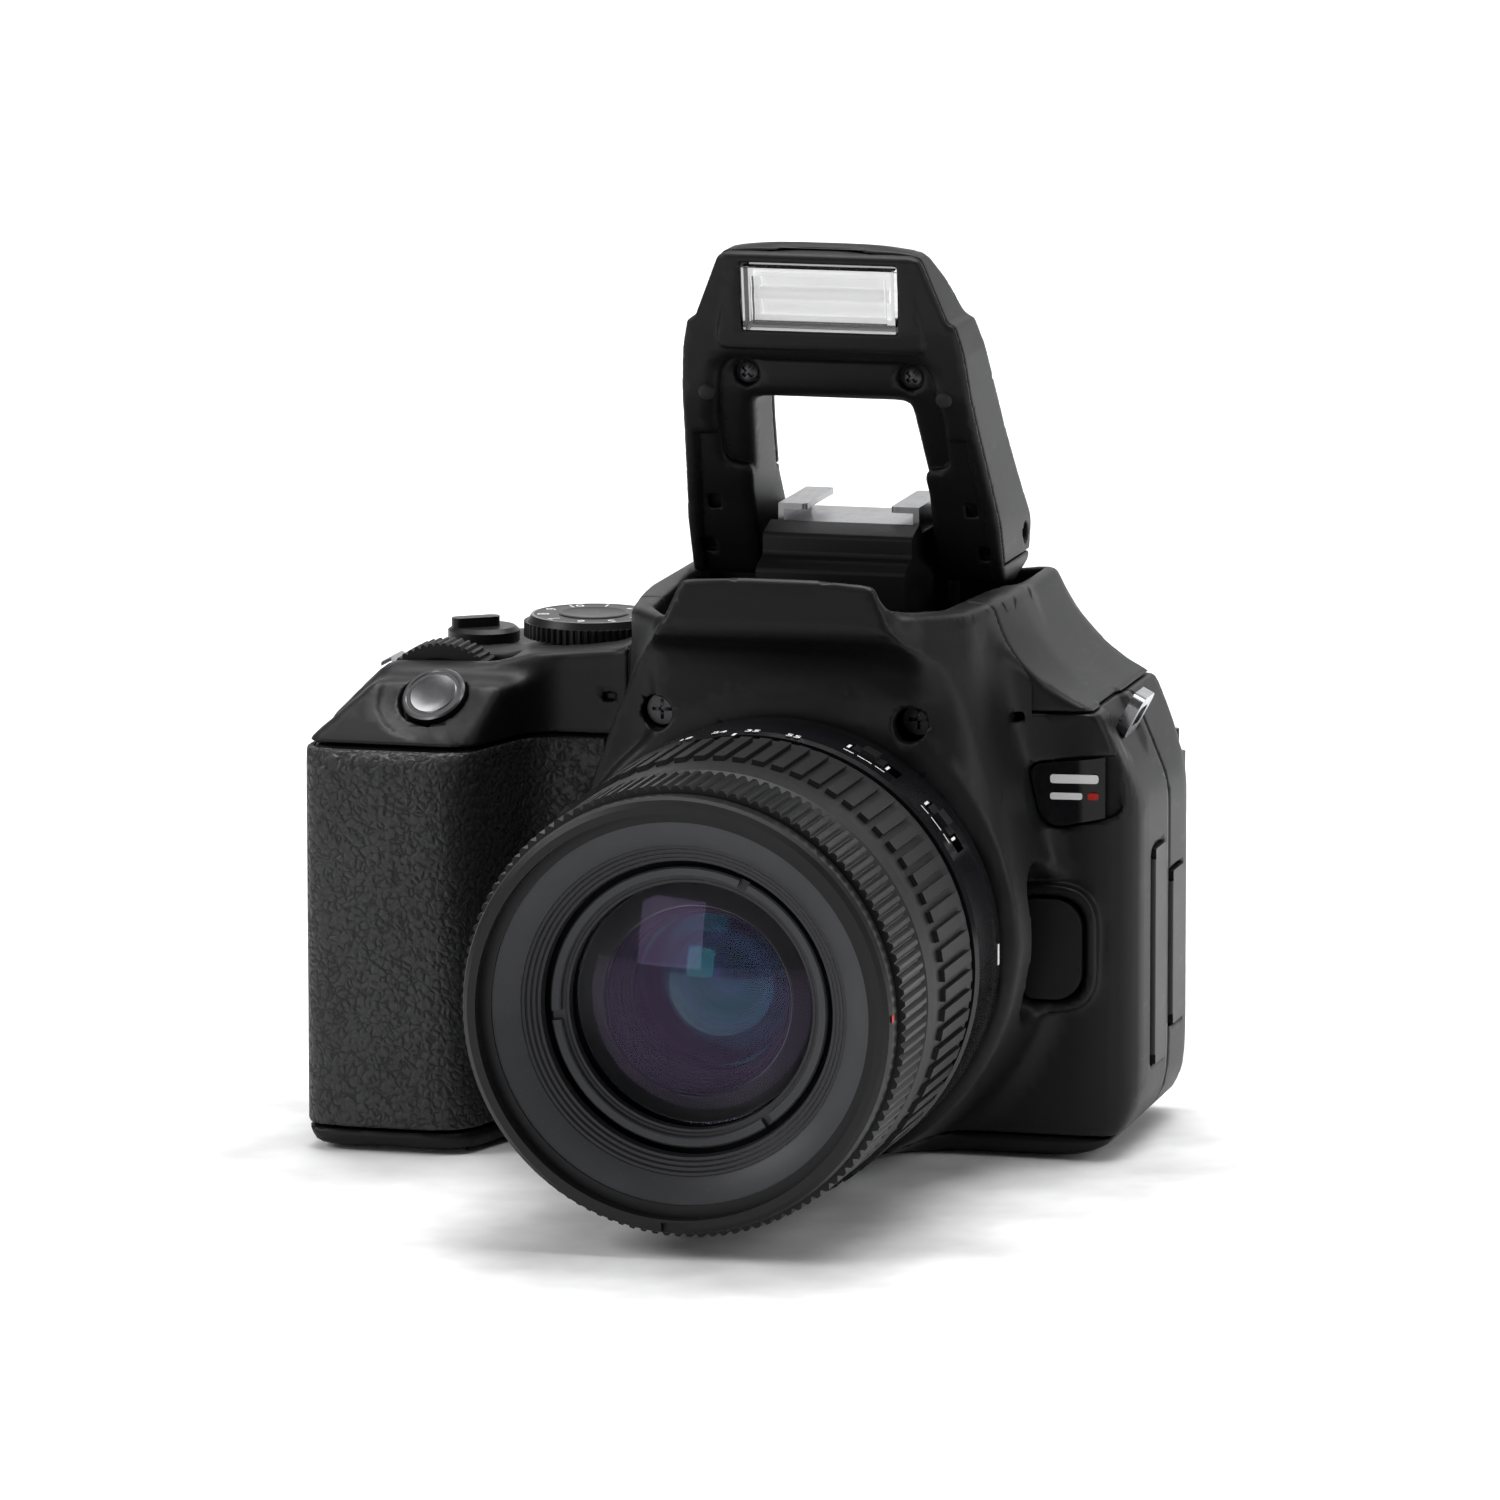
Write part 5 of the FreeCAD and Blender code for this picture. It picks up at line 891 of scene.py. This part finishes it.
def buildFlash():
    f = flashSizes
    py, pz, top = pivot.y, pivot.z, flashTop
    lattice = Lattice((-25.5, -17.5, 79.0), (25.5, 23.5, 136), f["step"])
    x, y, z = lattice.x, lattice.y, lattice.z
    frontLine = [(py - 13.2, pz - 5.6, 1.2), (py - 17.9, pz + 5.6, 10), (py - 27.4, pz + 23.2, 12),
                 (py - 30.4, top - 13, 6), (py - 32.0, top - 2.2, 1.0)]
    rearLine = [(py - 27.2, top, 2.5), (py - 20.5, top - 6, 8), (py - 13.5, pz + 28.5, 14), (py - 7.0, pz + 17.5, 14),
                (py - 1.2, pz + 9.0, 10), (py + 4.6, pz + 1.5, 3.4), (py + 2.8, pz - 4.6, 3), (py - 6.5, pz - 6.6, 3)]
    side = flatShape(y, z, frontLine + rearLine)
    behind = flatShape(y, z, [(60, 70, 0), (py - 11, 70, 0)] + frontLine[:-1]
                       + [(py - 32.4, top + 12, 0), (60, top + 12, 0)])
    ahead = flatShape(y, z, [(-60, top + 12, 0), (py - 30, top + 12, 0), (py - 27.2, top - 0.2, 3)] + rearLine[1:5]
                      + [(py + 4.6, pz + 1.5, 4), (py + 9, 70, 0), (-60, 70, 0)])
    outlineHalf = [(23.8, pz - 12, 0), (23.8, pz + 3, 12), (22.4, pz + 17, 22), (21.2, pz + 30, 14),
                   (20.2, top - 12.2, 1.2), (18.9, top - 11.4, 1.2), (14.9, top - 1.6, 3), (6, top + 0.1, 40)]
    face = flatShape(x, z, mirroredRight(outlineHalf))
    windowFace = flatShape(x, z, mirroredRight([(13.3, pz - 14, 0), (13.3, pz + 8, 8), (11.8, pz + 22.3, 1.6)]))
    whole = meet(side, face, 1.0)
    whole = meet(whole, -windowFace, 1.6)
    # the front face: sunk round the window, lower along the arms, raised round the lens
    sunk = flatShape(x, z, mirroredRight([(17.0, pz + 12, 2), (16.9, pz + 20, 6), (15.6, pz + 28.6, 3.2)]))
    whole = meet(whole, -np.maximum(sunk, -behind - 2.3), 2.2)
    armStep = np.maximum(np.maximum(z - (pz + 16.6), face + 2.2), -behind - 0.9)
    whole = meet(whole, -armStep, 0.9)
    bezel = flatShape(x, z, mirroredRight([(15.9, top - 16.2, 1.8), (13.3, top - 2.3, 1.6)]))
    raised = np.maximum(np.maximum(bezel, behind - 0.75), -behind - 2)
    whole = blended(whole, meet(raised, behind - 0.75, 0.7), 0.35)
    lampLow, lampHigh = edges("flash_lens")
    pocket = np.maximum(np.maximum(np.abs(x) - 11.75, np.abs(z - (lampLow.z + lampHigh.z) / 2) - 5.0), y + 7.5)
    whole = meet(whole, -pocket, 0.3)
    for sign in (-1, 1):
        hole = rod(x, y, z, (sign * 12.4, -40, pz + 26.2), (0, 1, 0), 1.9, 32.6)
        whole = meet(whole, -hole, 0.8)
        for hx, hz in ((19.5, pz + 5.6), (21.0, pz - 1.3)):
            square = np.maximum(np.abs(x - sign * hx) - 0.9, np.abs(z - hz) - 1.0)
            whole = meet(whole, -np.maximum(square, -behind - 2.4), 0.2)
    bore = np.sqrt((y - py) ** 2 + (z - pz) ** 2) - 1.65
    whole = np.maximum(whole, -bore)
    skinZone = np.maximum(-(ahead + f["skin"]), pz + 9.5 - z)
    coverZone = np.minimum(skinZone, np.maximum(-(face + f["border"]), np.maximum(behind + 1.0, pz - 3.0 - z)))
    coverField = meet(whole, coverZone + f["seam"], 0.4)
    frameField = meet(whole, f["seam"] - coverZone, 0.4)
    meshFrom(lattice, frameField, "flashFrameShell", "flash", "cover", ["flash_frame"])
    meshFrom(lattice, coverField, "flashCoverShell", "flash", "cover", ["flash_cover"])


def flashFace(z):  # where the head's front face stands at a height, above the arms
    py, pz, top = pivot.y, pivot.z, flashTop
    return float(np.interp(z, [pz - 5.6, pz + 5.6, pz + 23.2, top - 13, top - 2.2],
                           [py - 13.2, py - 17.9, py - 27.4, py - 30.4, py - 32.0]))


def buildFlashLens():
    sizes = flashSizes
    low, high = edges("flash_lens")
    tilt = math.atan2(1.6, 10.8)
    up = Vector((0, -math.sin(tilt), math.cos(tilt)))
    out = Vector((0, -math.cos(tilt), -math.sin(tilt)))
    base = Vector((0, low.y + 2.70, low.z))
    half, height = high.x - 0.1, high.z - low.z - 0.3
    border, ribs = sizes["windowBorder"], sizes["windowRibs"]
    points, faces = [], []
    columns = ribs * 2
    rows = sizes["windowRows"]
    for i in range(-2, columns + 3):
        for j in range(-2, rows + 3):
            u = -half + border + (2 * half - 2 * border) * min(max(i, 0), columns) / columns
            v = border + (height - 2 * border) * min(max(j, 0), rows) / rows
            proud = sizes["windowRim"]
            if 0 <= i <= columns and 0 <= j <= rows:
                rib = sizes["ribDepth"] if i % 2 else 0.0
                wave = sizes["waveDepth"] * math.cos(2 * math.pi * (j / rows - 0.5) * 2)
                proud = sizes["windowPane"] + rib + wave
            if i < 0:
                u = -half if i == -2 else -half + border
            if i > columns:
                u = half if i == columns + 2 else half - border
            if j < 0:
                v = 0.0 if j == -2 else border
            if j > rows:
                v = height if j == rows + 2 else height - border
            points.append(base + Vector((u, 0, 0)) + up * v + out * proud)
    wide = rows + 5
    total = columns + 5
    for i in range(total - 1):
        for j in range(wide - 1):
            faces.append((i * wide + j, i * wide + j + 1, (i + 1) * wide + j + 1, (i + 1) * wide + j))
    back = len(points)
    for u, v in ((-half, 0), (half, 0), (half, height), (-half, height)):
        points.append(base + Vector((u, 0, 0)) + up * v - out * 0.9)
    rim = [j for j in range(wide)], [(total - 1) * wide + j for j in range(wide)]
    bottom = [i * wide for i in range(total)]
    topRow = [i * wide + wide - 1 for i in range(total)]
    faces.append(tuple([back, back + 3] + list(reversed(rim[0]))))
    faces.append(tuple([back + 2, back + 1] + rim[1]))
    faces.append(tuple([back + 1, back] + bottom))
    faces.append(tuple([back + 3, back + 2] + list(reversed(topRow))))
    faces.append((back, back + 1, back + 2, back + 3))
    lens = meshPiece(points, faces, "flashPanelRibbed", "flash", "window", 20)
    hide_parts("flash_lens")
    for side in (-1, 1):
        z = pivot.z + 23.4
        crossScrew((side * 12.4, -8.2, pivot.z + 26.2), (0, -1, 0), 1.5, "flashScrew%d" % (side + 2), "flash")
        place = Vector((side * 17.9, flashFace(z) + 0.1, z))
        button = turnedDot(place, (0, -0.9, -0.42), 1.25, 0.7, "flashRest%d" % (side + 2), "flash", "rubber")


def turnedKnob(profile, place, way, name, body, look, slot=None, segments=64, crease=30):
    # a (radius, height) outline turned about a way through the place, closed at both ends
    way = Vector(way).normalized()
    across = way.orthogonal().normalized()
    up = way.cross(across)
    points, faces = [], []
    for r, h in profile:
        for i in range(segments):
            angle = 2 * math.pi * i / segments
            points.append(Vector(place) + across * r * math.cos(angle) + up * r * math.sin(angle) + way * h)
    for level in range(len(profile) - 1):
        for i in range(segments):
            j = (i + 1) % segments
            a, b = level * segments, (level + 1) * segments
            faces.append((a + i, a + j, b + j, b + i))
    faces.append(tuple(reversed(range(segments))))
    faces.append(tuple((len(profile) - 1) * segments + i for i in range(segments)))
    return meshPiece(points, faces, name, body, look, crease)


def turnedDot(place, way, radius, tall, name, body, look):
    profile = [(radius, -0.6), (radius, tall * 0.25), (radius * 0.93, tall * 0.6), (radius * 0.72, tall * 0.88),
               (radius * 0.35, tall)]
    return turnedKnob(profile, place, way, name, body, look, segments=28, crease=50)


print("flash")
buildFlash()
buildFlashLens()

# lens front: name ring, stepped baffles and the elements behind the front glass
frontY = edges("front_barrel")[0].y


def stepped(outer, inner, depthOuter, depthInner, steps):  # a staircase that runs inwards
    line = []
    for i in range(steps):
        r0 = outer + (inner - outer) * i / steps
        r1 = outer + (inner - outer) * (i + 1) / steps
        d = depthOuter + (depthInner - depthOuter) * i / steps
        line += [(r0, d), (r1 + 0.25, d + 0.04)]
    return line


def buildLensFront():
    y = frontY
    band = turnedRing([(28.9, y + 3.3), (28.9, y + 2.95), (28.6, y + 2.8), (27.9, y + 2.85), (23.9, y + 4.75),
                       (23.7, y + 5.0), (23.7, y + 5.6), (28.0, y + 5.6)],
                      "nameBand", "front_lens", "nameRing")
    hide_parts("name_ring")
    steps = stepped(23.65, 21.0, y + 5.25, y + 7.1, 4)
    turnedRing([(23.65, y + 8)] + steps + [(21.0, y + 8)], "outerSteps", "front_lens", "baffle")
    turnedRing([(20.9, y + 11), (20.9, y + 10.2), (20.2, y + 10.2), (20.2, y + 11)], "deepGroove",
               "front_lens", "matte")
    notches = [(8 + 120 * i, 124 + 120 * i) for i in range(3)]
    turnedRing([(20.15, y + 10.5), (20.15, y + 8.1), (19.9, y + 7.85), (18.95, y + 8.0), (18.75, y + 8.2),
                (18.75, y + 10.5)],
               "notchedRing", "front_lens", "nameRing", [(a - 60, b - 60) for a, b in notches])
    turnedRing([(20.1, y + 10.6), (20.1, y + 8.9), (18.3, y + 8.9), (18.1, y + 9.1), (17.75, y + 9.1),
                (17.65, y + 9.4), (17.65, y + 10.6)],
               "glassRetainer", "front_lens", "baffle")
    # behind the front glass
    turnedRing([(17.4, y + 14.15)] + stepped(17.4, 13.4, y + 12.6, y + 13.6, 6) + [(13.4, y + 14.15)],
               "firstBaffle", "front_lens", "baffle")
    turnedRing([(14.4, y + 17.9)] + stepped(14.4, 11.6, y + 16.2, y + 17.5, 5) + [(11.6, y + 17.9)],
               "secondBaffle", "front_lens", "matte")
    dome(11.1, y + 19.9, 3.0, 19.0, "focusElement", "focus_group", "innerGlass", "optics")
    cell = turnedRing([(13.0, y + 24.0), (13.0, y + 19.6), (11.6, y + 19.6)]
                      + stepped(11.6, 10.6, y + 19.6, y + 19.9, 2) + [(11.15, y + 20.4), (11.15, y + 24.0)],
                      "focusCell", "focus_group", "matte")
    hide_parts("focus_group")
    back = flangeY - 8.0
    dome(10.5, back, 3.4, 14.0, "rearElement", "camera_body", "innerGlass", "optics")
    aperture = frontY + 29.0
    turnedRing([(22.0, aperture + 3.3), (22.0, aperture), (9.5, aperture), (9.2, aperture + 0.3),
                (9.2, aperture + 2.9), (3.6, aperture + 3.05), (3.6, aperture + 3.3)],
               "irisBlades", "camera_body", "matte")
    rearCell = turnedRing([(23.6, flangeY - 4), (23.6, flangeY - 9), (10.65, flangeY - 9), (10.65, flangeY - 4)],
                          "rearCell", "camera_body", "matte")
    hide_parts("rear_group")
    # glass between the iris and the focusing element, with a dark tube round it
    dome(7.6, y + 24.6, 1.6, 9.5, "thirdElement", "focus_group", "violetGlass", "optics")
    turnedRing([(11.1, y + 26.2), (11.1, y + 24.2)] + stepped(10.9, 7.9, y + 24.2, y + 24.5, 3) + [(7.65, y + 26.2)],
               "thirdCell", "focus_group", "matte")


flangeY = -36.0
print("lens front")
buildLensFront()


# marks and small fittings
def onBarrel(angle, depth, radius):  # a place, the way along the ring and the way out, on the lens
    turn = math.radians(angle)
    out = Vector((math.cos(turn), 0, math.sin(turn)))
    return Vector((0, depth, axisZ)) + out * radius, Vector((-math.sin(turn), 0, math.cos(turn))), out


def barrelMark(outlines, angle, depth, radius, name, body, look, thick=0.04):
    place, along, _ = onBarrel(angle, depth, radius - 0.02)

    def wrap(spot, height):
        across = (spot - place).dot(along)
        turn = math.radians(angle) + across / radius
        far = radius - 0.02 + height
        return Vector((far * math.cos(turn), spot.y, axisZ + far * math.sin(turn)))
    return slab(outlines, place, along, (0, -1, 0), thick, name, body, look, None, 0.0, wrap)


def buildMarks():
    barrelMark([bar(-1.5, 1.5, -0.45, 0.45)], 0, -40.6, 33.25, "bayonetMark", "camera_body", "paint")
    barrelMark([bar(-0.5, 0.5, -0.6, 0.6)], 2, frontY + 1.6, 31.2, "hoodMark", "front_lens", "redPaint")
    # zoom scale: four focal lengths on the ring and an index on the barrel
    for angle, text in ((108, "18"), (99, "24"), (90.5, "35"), (80, "55")):
        place, along, _ = onBarrel(angle, -52.4, 33.27)
        letters(text, place, -along, (0, 1, 0), 2.3, "zoomNumber" + text, "camera_body")
    barrelMark([bar(-0.2, 0.2, -0.9, 0.9)], 94, -55.2, 33.2, "zoomIndex", "zoom", "paint")
    # slide switch frames and their on-off dashes
    for angle, name in ((62, "focusSwitchMarks"), (38, "steadySwitchMarks")):
        barrelMark([bar(-3.4, -3.0, -1.0, 1.0), bar(3.0, 3.4, -1.0, 1.0),
                    bar(-1.2, 1.2, 2.6, 2.85), bar(-3.4, -1.8, 2.6, 2.85),
                    bar(1.8, 3.4, 2.6, 2.85)], angle, -47.2, 33.25, name, "camera_body", "paint")
    # badge: three plain bars
    badge = (39.2, -18.02, 55.2), (1, 0, 0.02), (0, 0, 1), 0.05
    slab([bar(-3.6, 3.6, 1.0, 2.3, 0.5), bar(-3.6, 1.2, -1.4, -0.4, 0.4)], *badge, "badgeBars", "camera_body", "paint")
    slab([bar(2.0, 3.6, -1.4, -0.4, 0.4)], *badge, "badgeTab", "camera_body", "redPaint")
    for side in (-1, 1):
        crossScrew((side * 19.2, -31.75, 67.1), (0, -1, 0), 1.55, "panelScrew%d" % (side + 2), "camera_body")
    # speaker holes on the right shoulder, drawn as black dots
    for i in range(3):
        for j in range(4 if i < 2 else 3):
            across = 27.6 + 2.0 * i
            # painted shade: each speaker hole is a small dome of the blackest finish standing on the deck, not a hole
            turnedDot((across, 12.5 + 1.5 * j, shoulderAt(across) - 0.05), (0.25, 0, 1), 0.42, 0.1,
                      "soundHoleShadeDot%d%d" % (i, j), "camera_body", "matte")


def shoulderAt(x):  # height of the deck's right side
    return float(np.interp(x, [26, 27.8, 30, 33, 36.8, 42.8], [74.2, 73.0, 72.0, 70.9, 69.4, 66.4]))


controlSizes = {
    "cap": [(2.5, -7.4), (2.5, -1.4), (4.85, -1.0), (4.85, 0.62), (4.6, 0.86), (4.25, 0.86), (4.1, 0.72), (3.6, 0.72),
            (3.45, 0.84), (2.6, 0.66), (1.6, 0.56), (0.6, 0.52)],
    "dialRing": [(9.3, -0.2), (9.3, 0.04), (9.1, 0.06), (8.9, 0.04), (8.9, -0.2)],
    "dialCentre": [(5.2, -0.2), (5.2, 0.10), (4.9, 0.22), (4.4, 0.10), (1.0, 0.06)],
    "capCentre": (18.6, 11.0, 2.4),   # from the grip's left side and front, and below the shoulder
}


def buildControls():
    c = controlSizes
    s, centre = shellSizes, c["capCentre"]
    place = Vector((leftX + centre[0], s["gripFront"] + centre[1], s["shoulder"] - centre[2]))
    cap = turnedKnob(c["cap"], place + buttonWay * 0.1, buttonWay, "shutterCap", "shutter_button", "spun", None, 96)
    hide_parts("shutter_button")
    # mode dial: numbers round the top, a ring and a centre cap on it, and a mark on the power switch
    dial, dialTop = middle("mode_dial"), edges("mode_dial")[1].z
    marks = ("1", "2", "3", "4", "5", "6", "7", "8", "9", "10")
    for i, mark in enumerate(marks):
        turn = 2 * math.pi * i / len(marks)
        out = Vector((math.sin(turn), math.cos(turn), 0))
        letters(mark, Vector((dial.x, dial.y, dialTop + 0.01)) + out * 7.4, (out.y, -out.x, 0), out, 2.6,
                "dialNumber" + mark, "mode_dial")
    dialFace = (dial.x, dial.y, dialTop), (0, 0, 1)
    turnedKnob(c["dialRing"], *dialFace, "dialRing", "mode_dial", "spun")
    turnedKnob(c["dialCentre"], *dialFace, "dialCentre", "mode_dial", "knob")
    power, powerTop = middle("power_switch"), edges("power_switch")[1].z
    slab([bar(-0.3, 0.3, -1.6, 1.6)], (power.x - 1.4, power.y - 2.2, powerTop - 2.2), (1, 0, 0), (0, 1, 0), 0.04,
         "powerMark", "power_switch", "paint")
    # plain icons beside the rear buttons
    back = 22.0
    rear = {"menuBars": (39.5, 62.8, "menu_button", [bar(-1.3, 1.3, 0.5, 0.8), bar(-1.3, 1.3, -0.15, 0.15),
                                                     bar(-1.3, 1.3, -0.8, -0.5)]),
            "liveFrame": (-21.0, 62.6, "live_view_button", [bar(-1.3, 1.3, 0.65, 0.9), bar(-1.3, 1.3, -0.9, -0.65),
                                                            bar(-1.3, -1.05, -0.65, 0.65),
                                        bar(1.05, 1.3, -0.65, 0.65)]),
            "lockStar": (-60.5, 61.4, "camera_body", [bar(-0.9, 0.9, -0.15, 0.15), bar(-0.15, 0.15, -0.9, 0.9)]),
            "playTriangle": (-40.0, 19.4, "camera_body", [[(-0.8, -0.9, 0), (0.9, 0.0, 0), (-0.8, 0.9, 0)]])}
    for name, (x, z, body, shapes) in rear.items():
        proud = 0 if body == "camera_body" else 0.9
        slab(shapes, (x, back + proud + 0.02, z), (-1, 0, 0), (0, 0, 1), 0.05, name, body, "paint")
    keys = middle("cross_keys")
    face = edges("cross_keys")[1].y
    for i in range(4):
        turn = math.pi / 2 * i
        out = Vector((math.sin(turn), 0, math.cos(turn)))
        slab([[(-0.9, -0.6, 0), (0.9, -0.6, 0), (0.0, 0.8, 0)]], Vector((keys.x, face + 0.02, keys.z)) + out * 6.4,
             (-out.z, 0, out.x), out, 0.05, "keyArrow%d" % i, "cross_keys", "paint")
    # thumb rest on the rear, over the rubber's own pad
    slab([[(66.1, 53.5, 3), (36.5, 53.5, 4), (38.5, 44.5, 4), (66.1, 44.5, 3)]],
         (0, back + 0.02, 0), (-1, 0, 0), (0, 0, 1), 1.5, "thumbPad", "camera_body", "grip", "grip", 0.7)


print("marks")
buildMarks()
buildControls()


# floor, lights and camera
print("floor, lights and camera")
studio = {
    "floorWidth": 6.0,
    "floorFront": -3.5,
    "floorBack": 1.6,
    "sweepRadius": 0.9,
    "wallHeight": 2.6,
    "skyShade": (0.86, 0.87, 0.88),
    "skyStrength": 0.16,
}
lamps = [  # name, place, aim, size, power, in metres and watts
    ("keyLeft", (-1.45, -0.75, 1.15), (0, 0, 0.06), (0.8, 0.9), 18.0),
    ("topBox", (0.1, 0.15, 1.5), (0, -0.02, 0.08), (1.1, 0.7), 15.0),
    ("stripRight", (1.4, -0.15, 0.65), (0.02, 0, 0.05), (0.35, 1.2), 7.0),
    ("lowFront", (-0.55, -1.5, 0.25), (0, 0, 0.03), (0.5, 0.5), 2.4),
    ("wallWash", (0, 0.7, 1.9), (0, 1.6, 0.5), (2.4, 0.5), 46.0),
]


def makeFloor():
    section = [(studio["floorFront"], 0.0), (studio["floorBack"], 0.0)]
    steps = 16
    for step in range(1, steps + 1):
        turn = math.radians(90 * step / steps)
        section.append((studio["floorBack"] + studio["sweepRadius"] * math.sin(turn),
                        studio["sweepRadius"] * (1 - math.cos(turn))))
    section.append((section[-1][0], studio["wallHeight"]))
    half = studio["floorWidth"] / 2
    points = [(x, y, z) for y, z in section for x in (-half, half)]
    faces = [(2 * i, 2 * i + 1, 2 * i + 3, 2 * i + 2) for i in range(len(section) - 1)]
    mesh = bpy.data.meshes.new("studioSweep")
    mesh.from_pydata(points, [], faces)
    mesh.shade_smooth()
    sweep = bpy.data.objects.new("studioSweep", mesh)
    bpy.context.scene.collection.objects.link(sweep)
    mesh.materials.append(plastic("sweepPaper", (0.88, 0.88, 0.88), 0.85, 1.5 * mm, 0.02 * mm))


def makeLamps():
    for name, place, aim, size, power in lamps:
        light = bpy.data.lights.new(name, "AREA")
        light.shape = "RECTANGLE"
        light.size, light.size_y = size
        light.energy = power
        lamp = bpy.data.objects.new(name, light)
        lamp.location = place
        lamp.rotation_euler = (Vector(aim) - Vector(place)).to_track_quat("-Z", "Y").to_euler()
        bpy.context.scene.collection.objects.link(lamp)
    world = bpy.data.worlds.new("studioSky")
    world.use_nodes = True
    sky = world.node_tree.nodes["Background"]
    sky.inputs["Color"].default_value = rgba(studio["skyShade"])
    sky.inputs["Strength"].default_value = studio["skyStrength"]
    bpy.context.scene.world = world


view = {
    "azimuth": 14.47,
    "elevation": 9.83,
    "roll": -0.08,
    "target": (0.0, -0.030, 0.045),
    "distance": 1.658,
    "lens": 273.3,
    "across": 0.00626,
    "down": -0.01629,
}


def makeCamera():
    turn, rise = math.radians(view["azimuth"]), math.radians(view["elevation"])
    back = Vector((math.sin(turn) * math.cos(rise), -math.cos(turn) * math.cos(rise), math.sin(rise)))
    right = Vector((math.cos(turn), math.sin(turn), 0))
    up = back.cross(right)
    place = Vector(view["target"]) + back * view["distance"] - right * view["across"] - up * view["down"]
    data = bpy.data.cameras.new("camera")
    data.sensor_width = 36
    data.lens = view["lens"]
    data.clip_end = 50
    camera = bpy.data.objects.new("camera", data)
    camera.matrix_world = (Matrix.Translation(place) @ Matrix((right, up, back)).transposed().to_4x4()
                           @ Matrix.Rotation(math.radians(view["roll"]), 4, "Z"))
    bpy.context.scene.collection.objects.link(camera)
    bpy.context.scene.camera = camera
    bpy.context.scene.view_settings.view_transform = "Standard"


makeFloor()
makeLamps()
makeCamera()
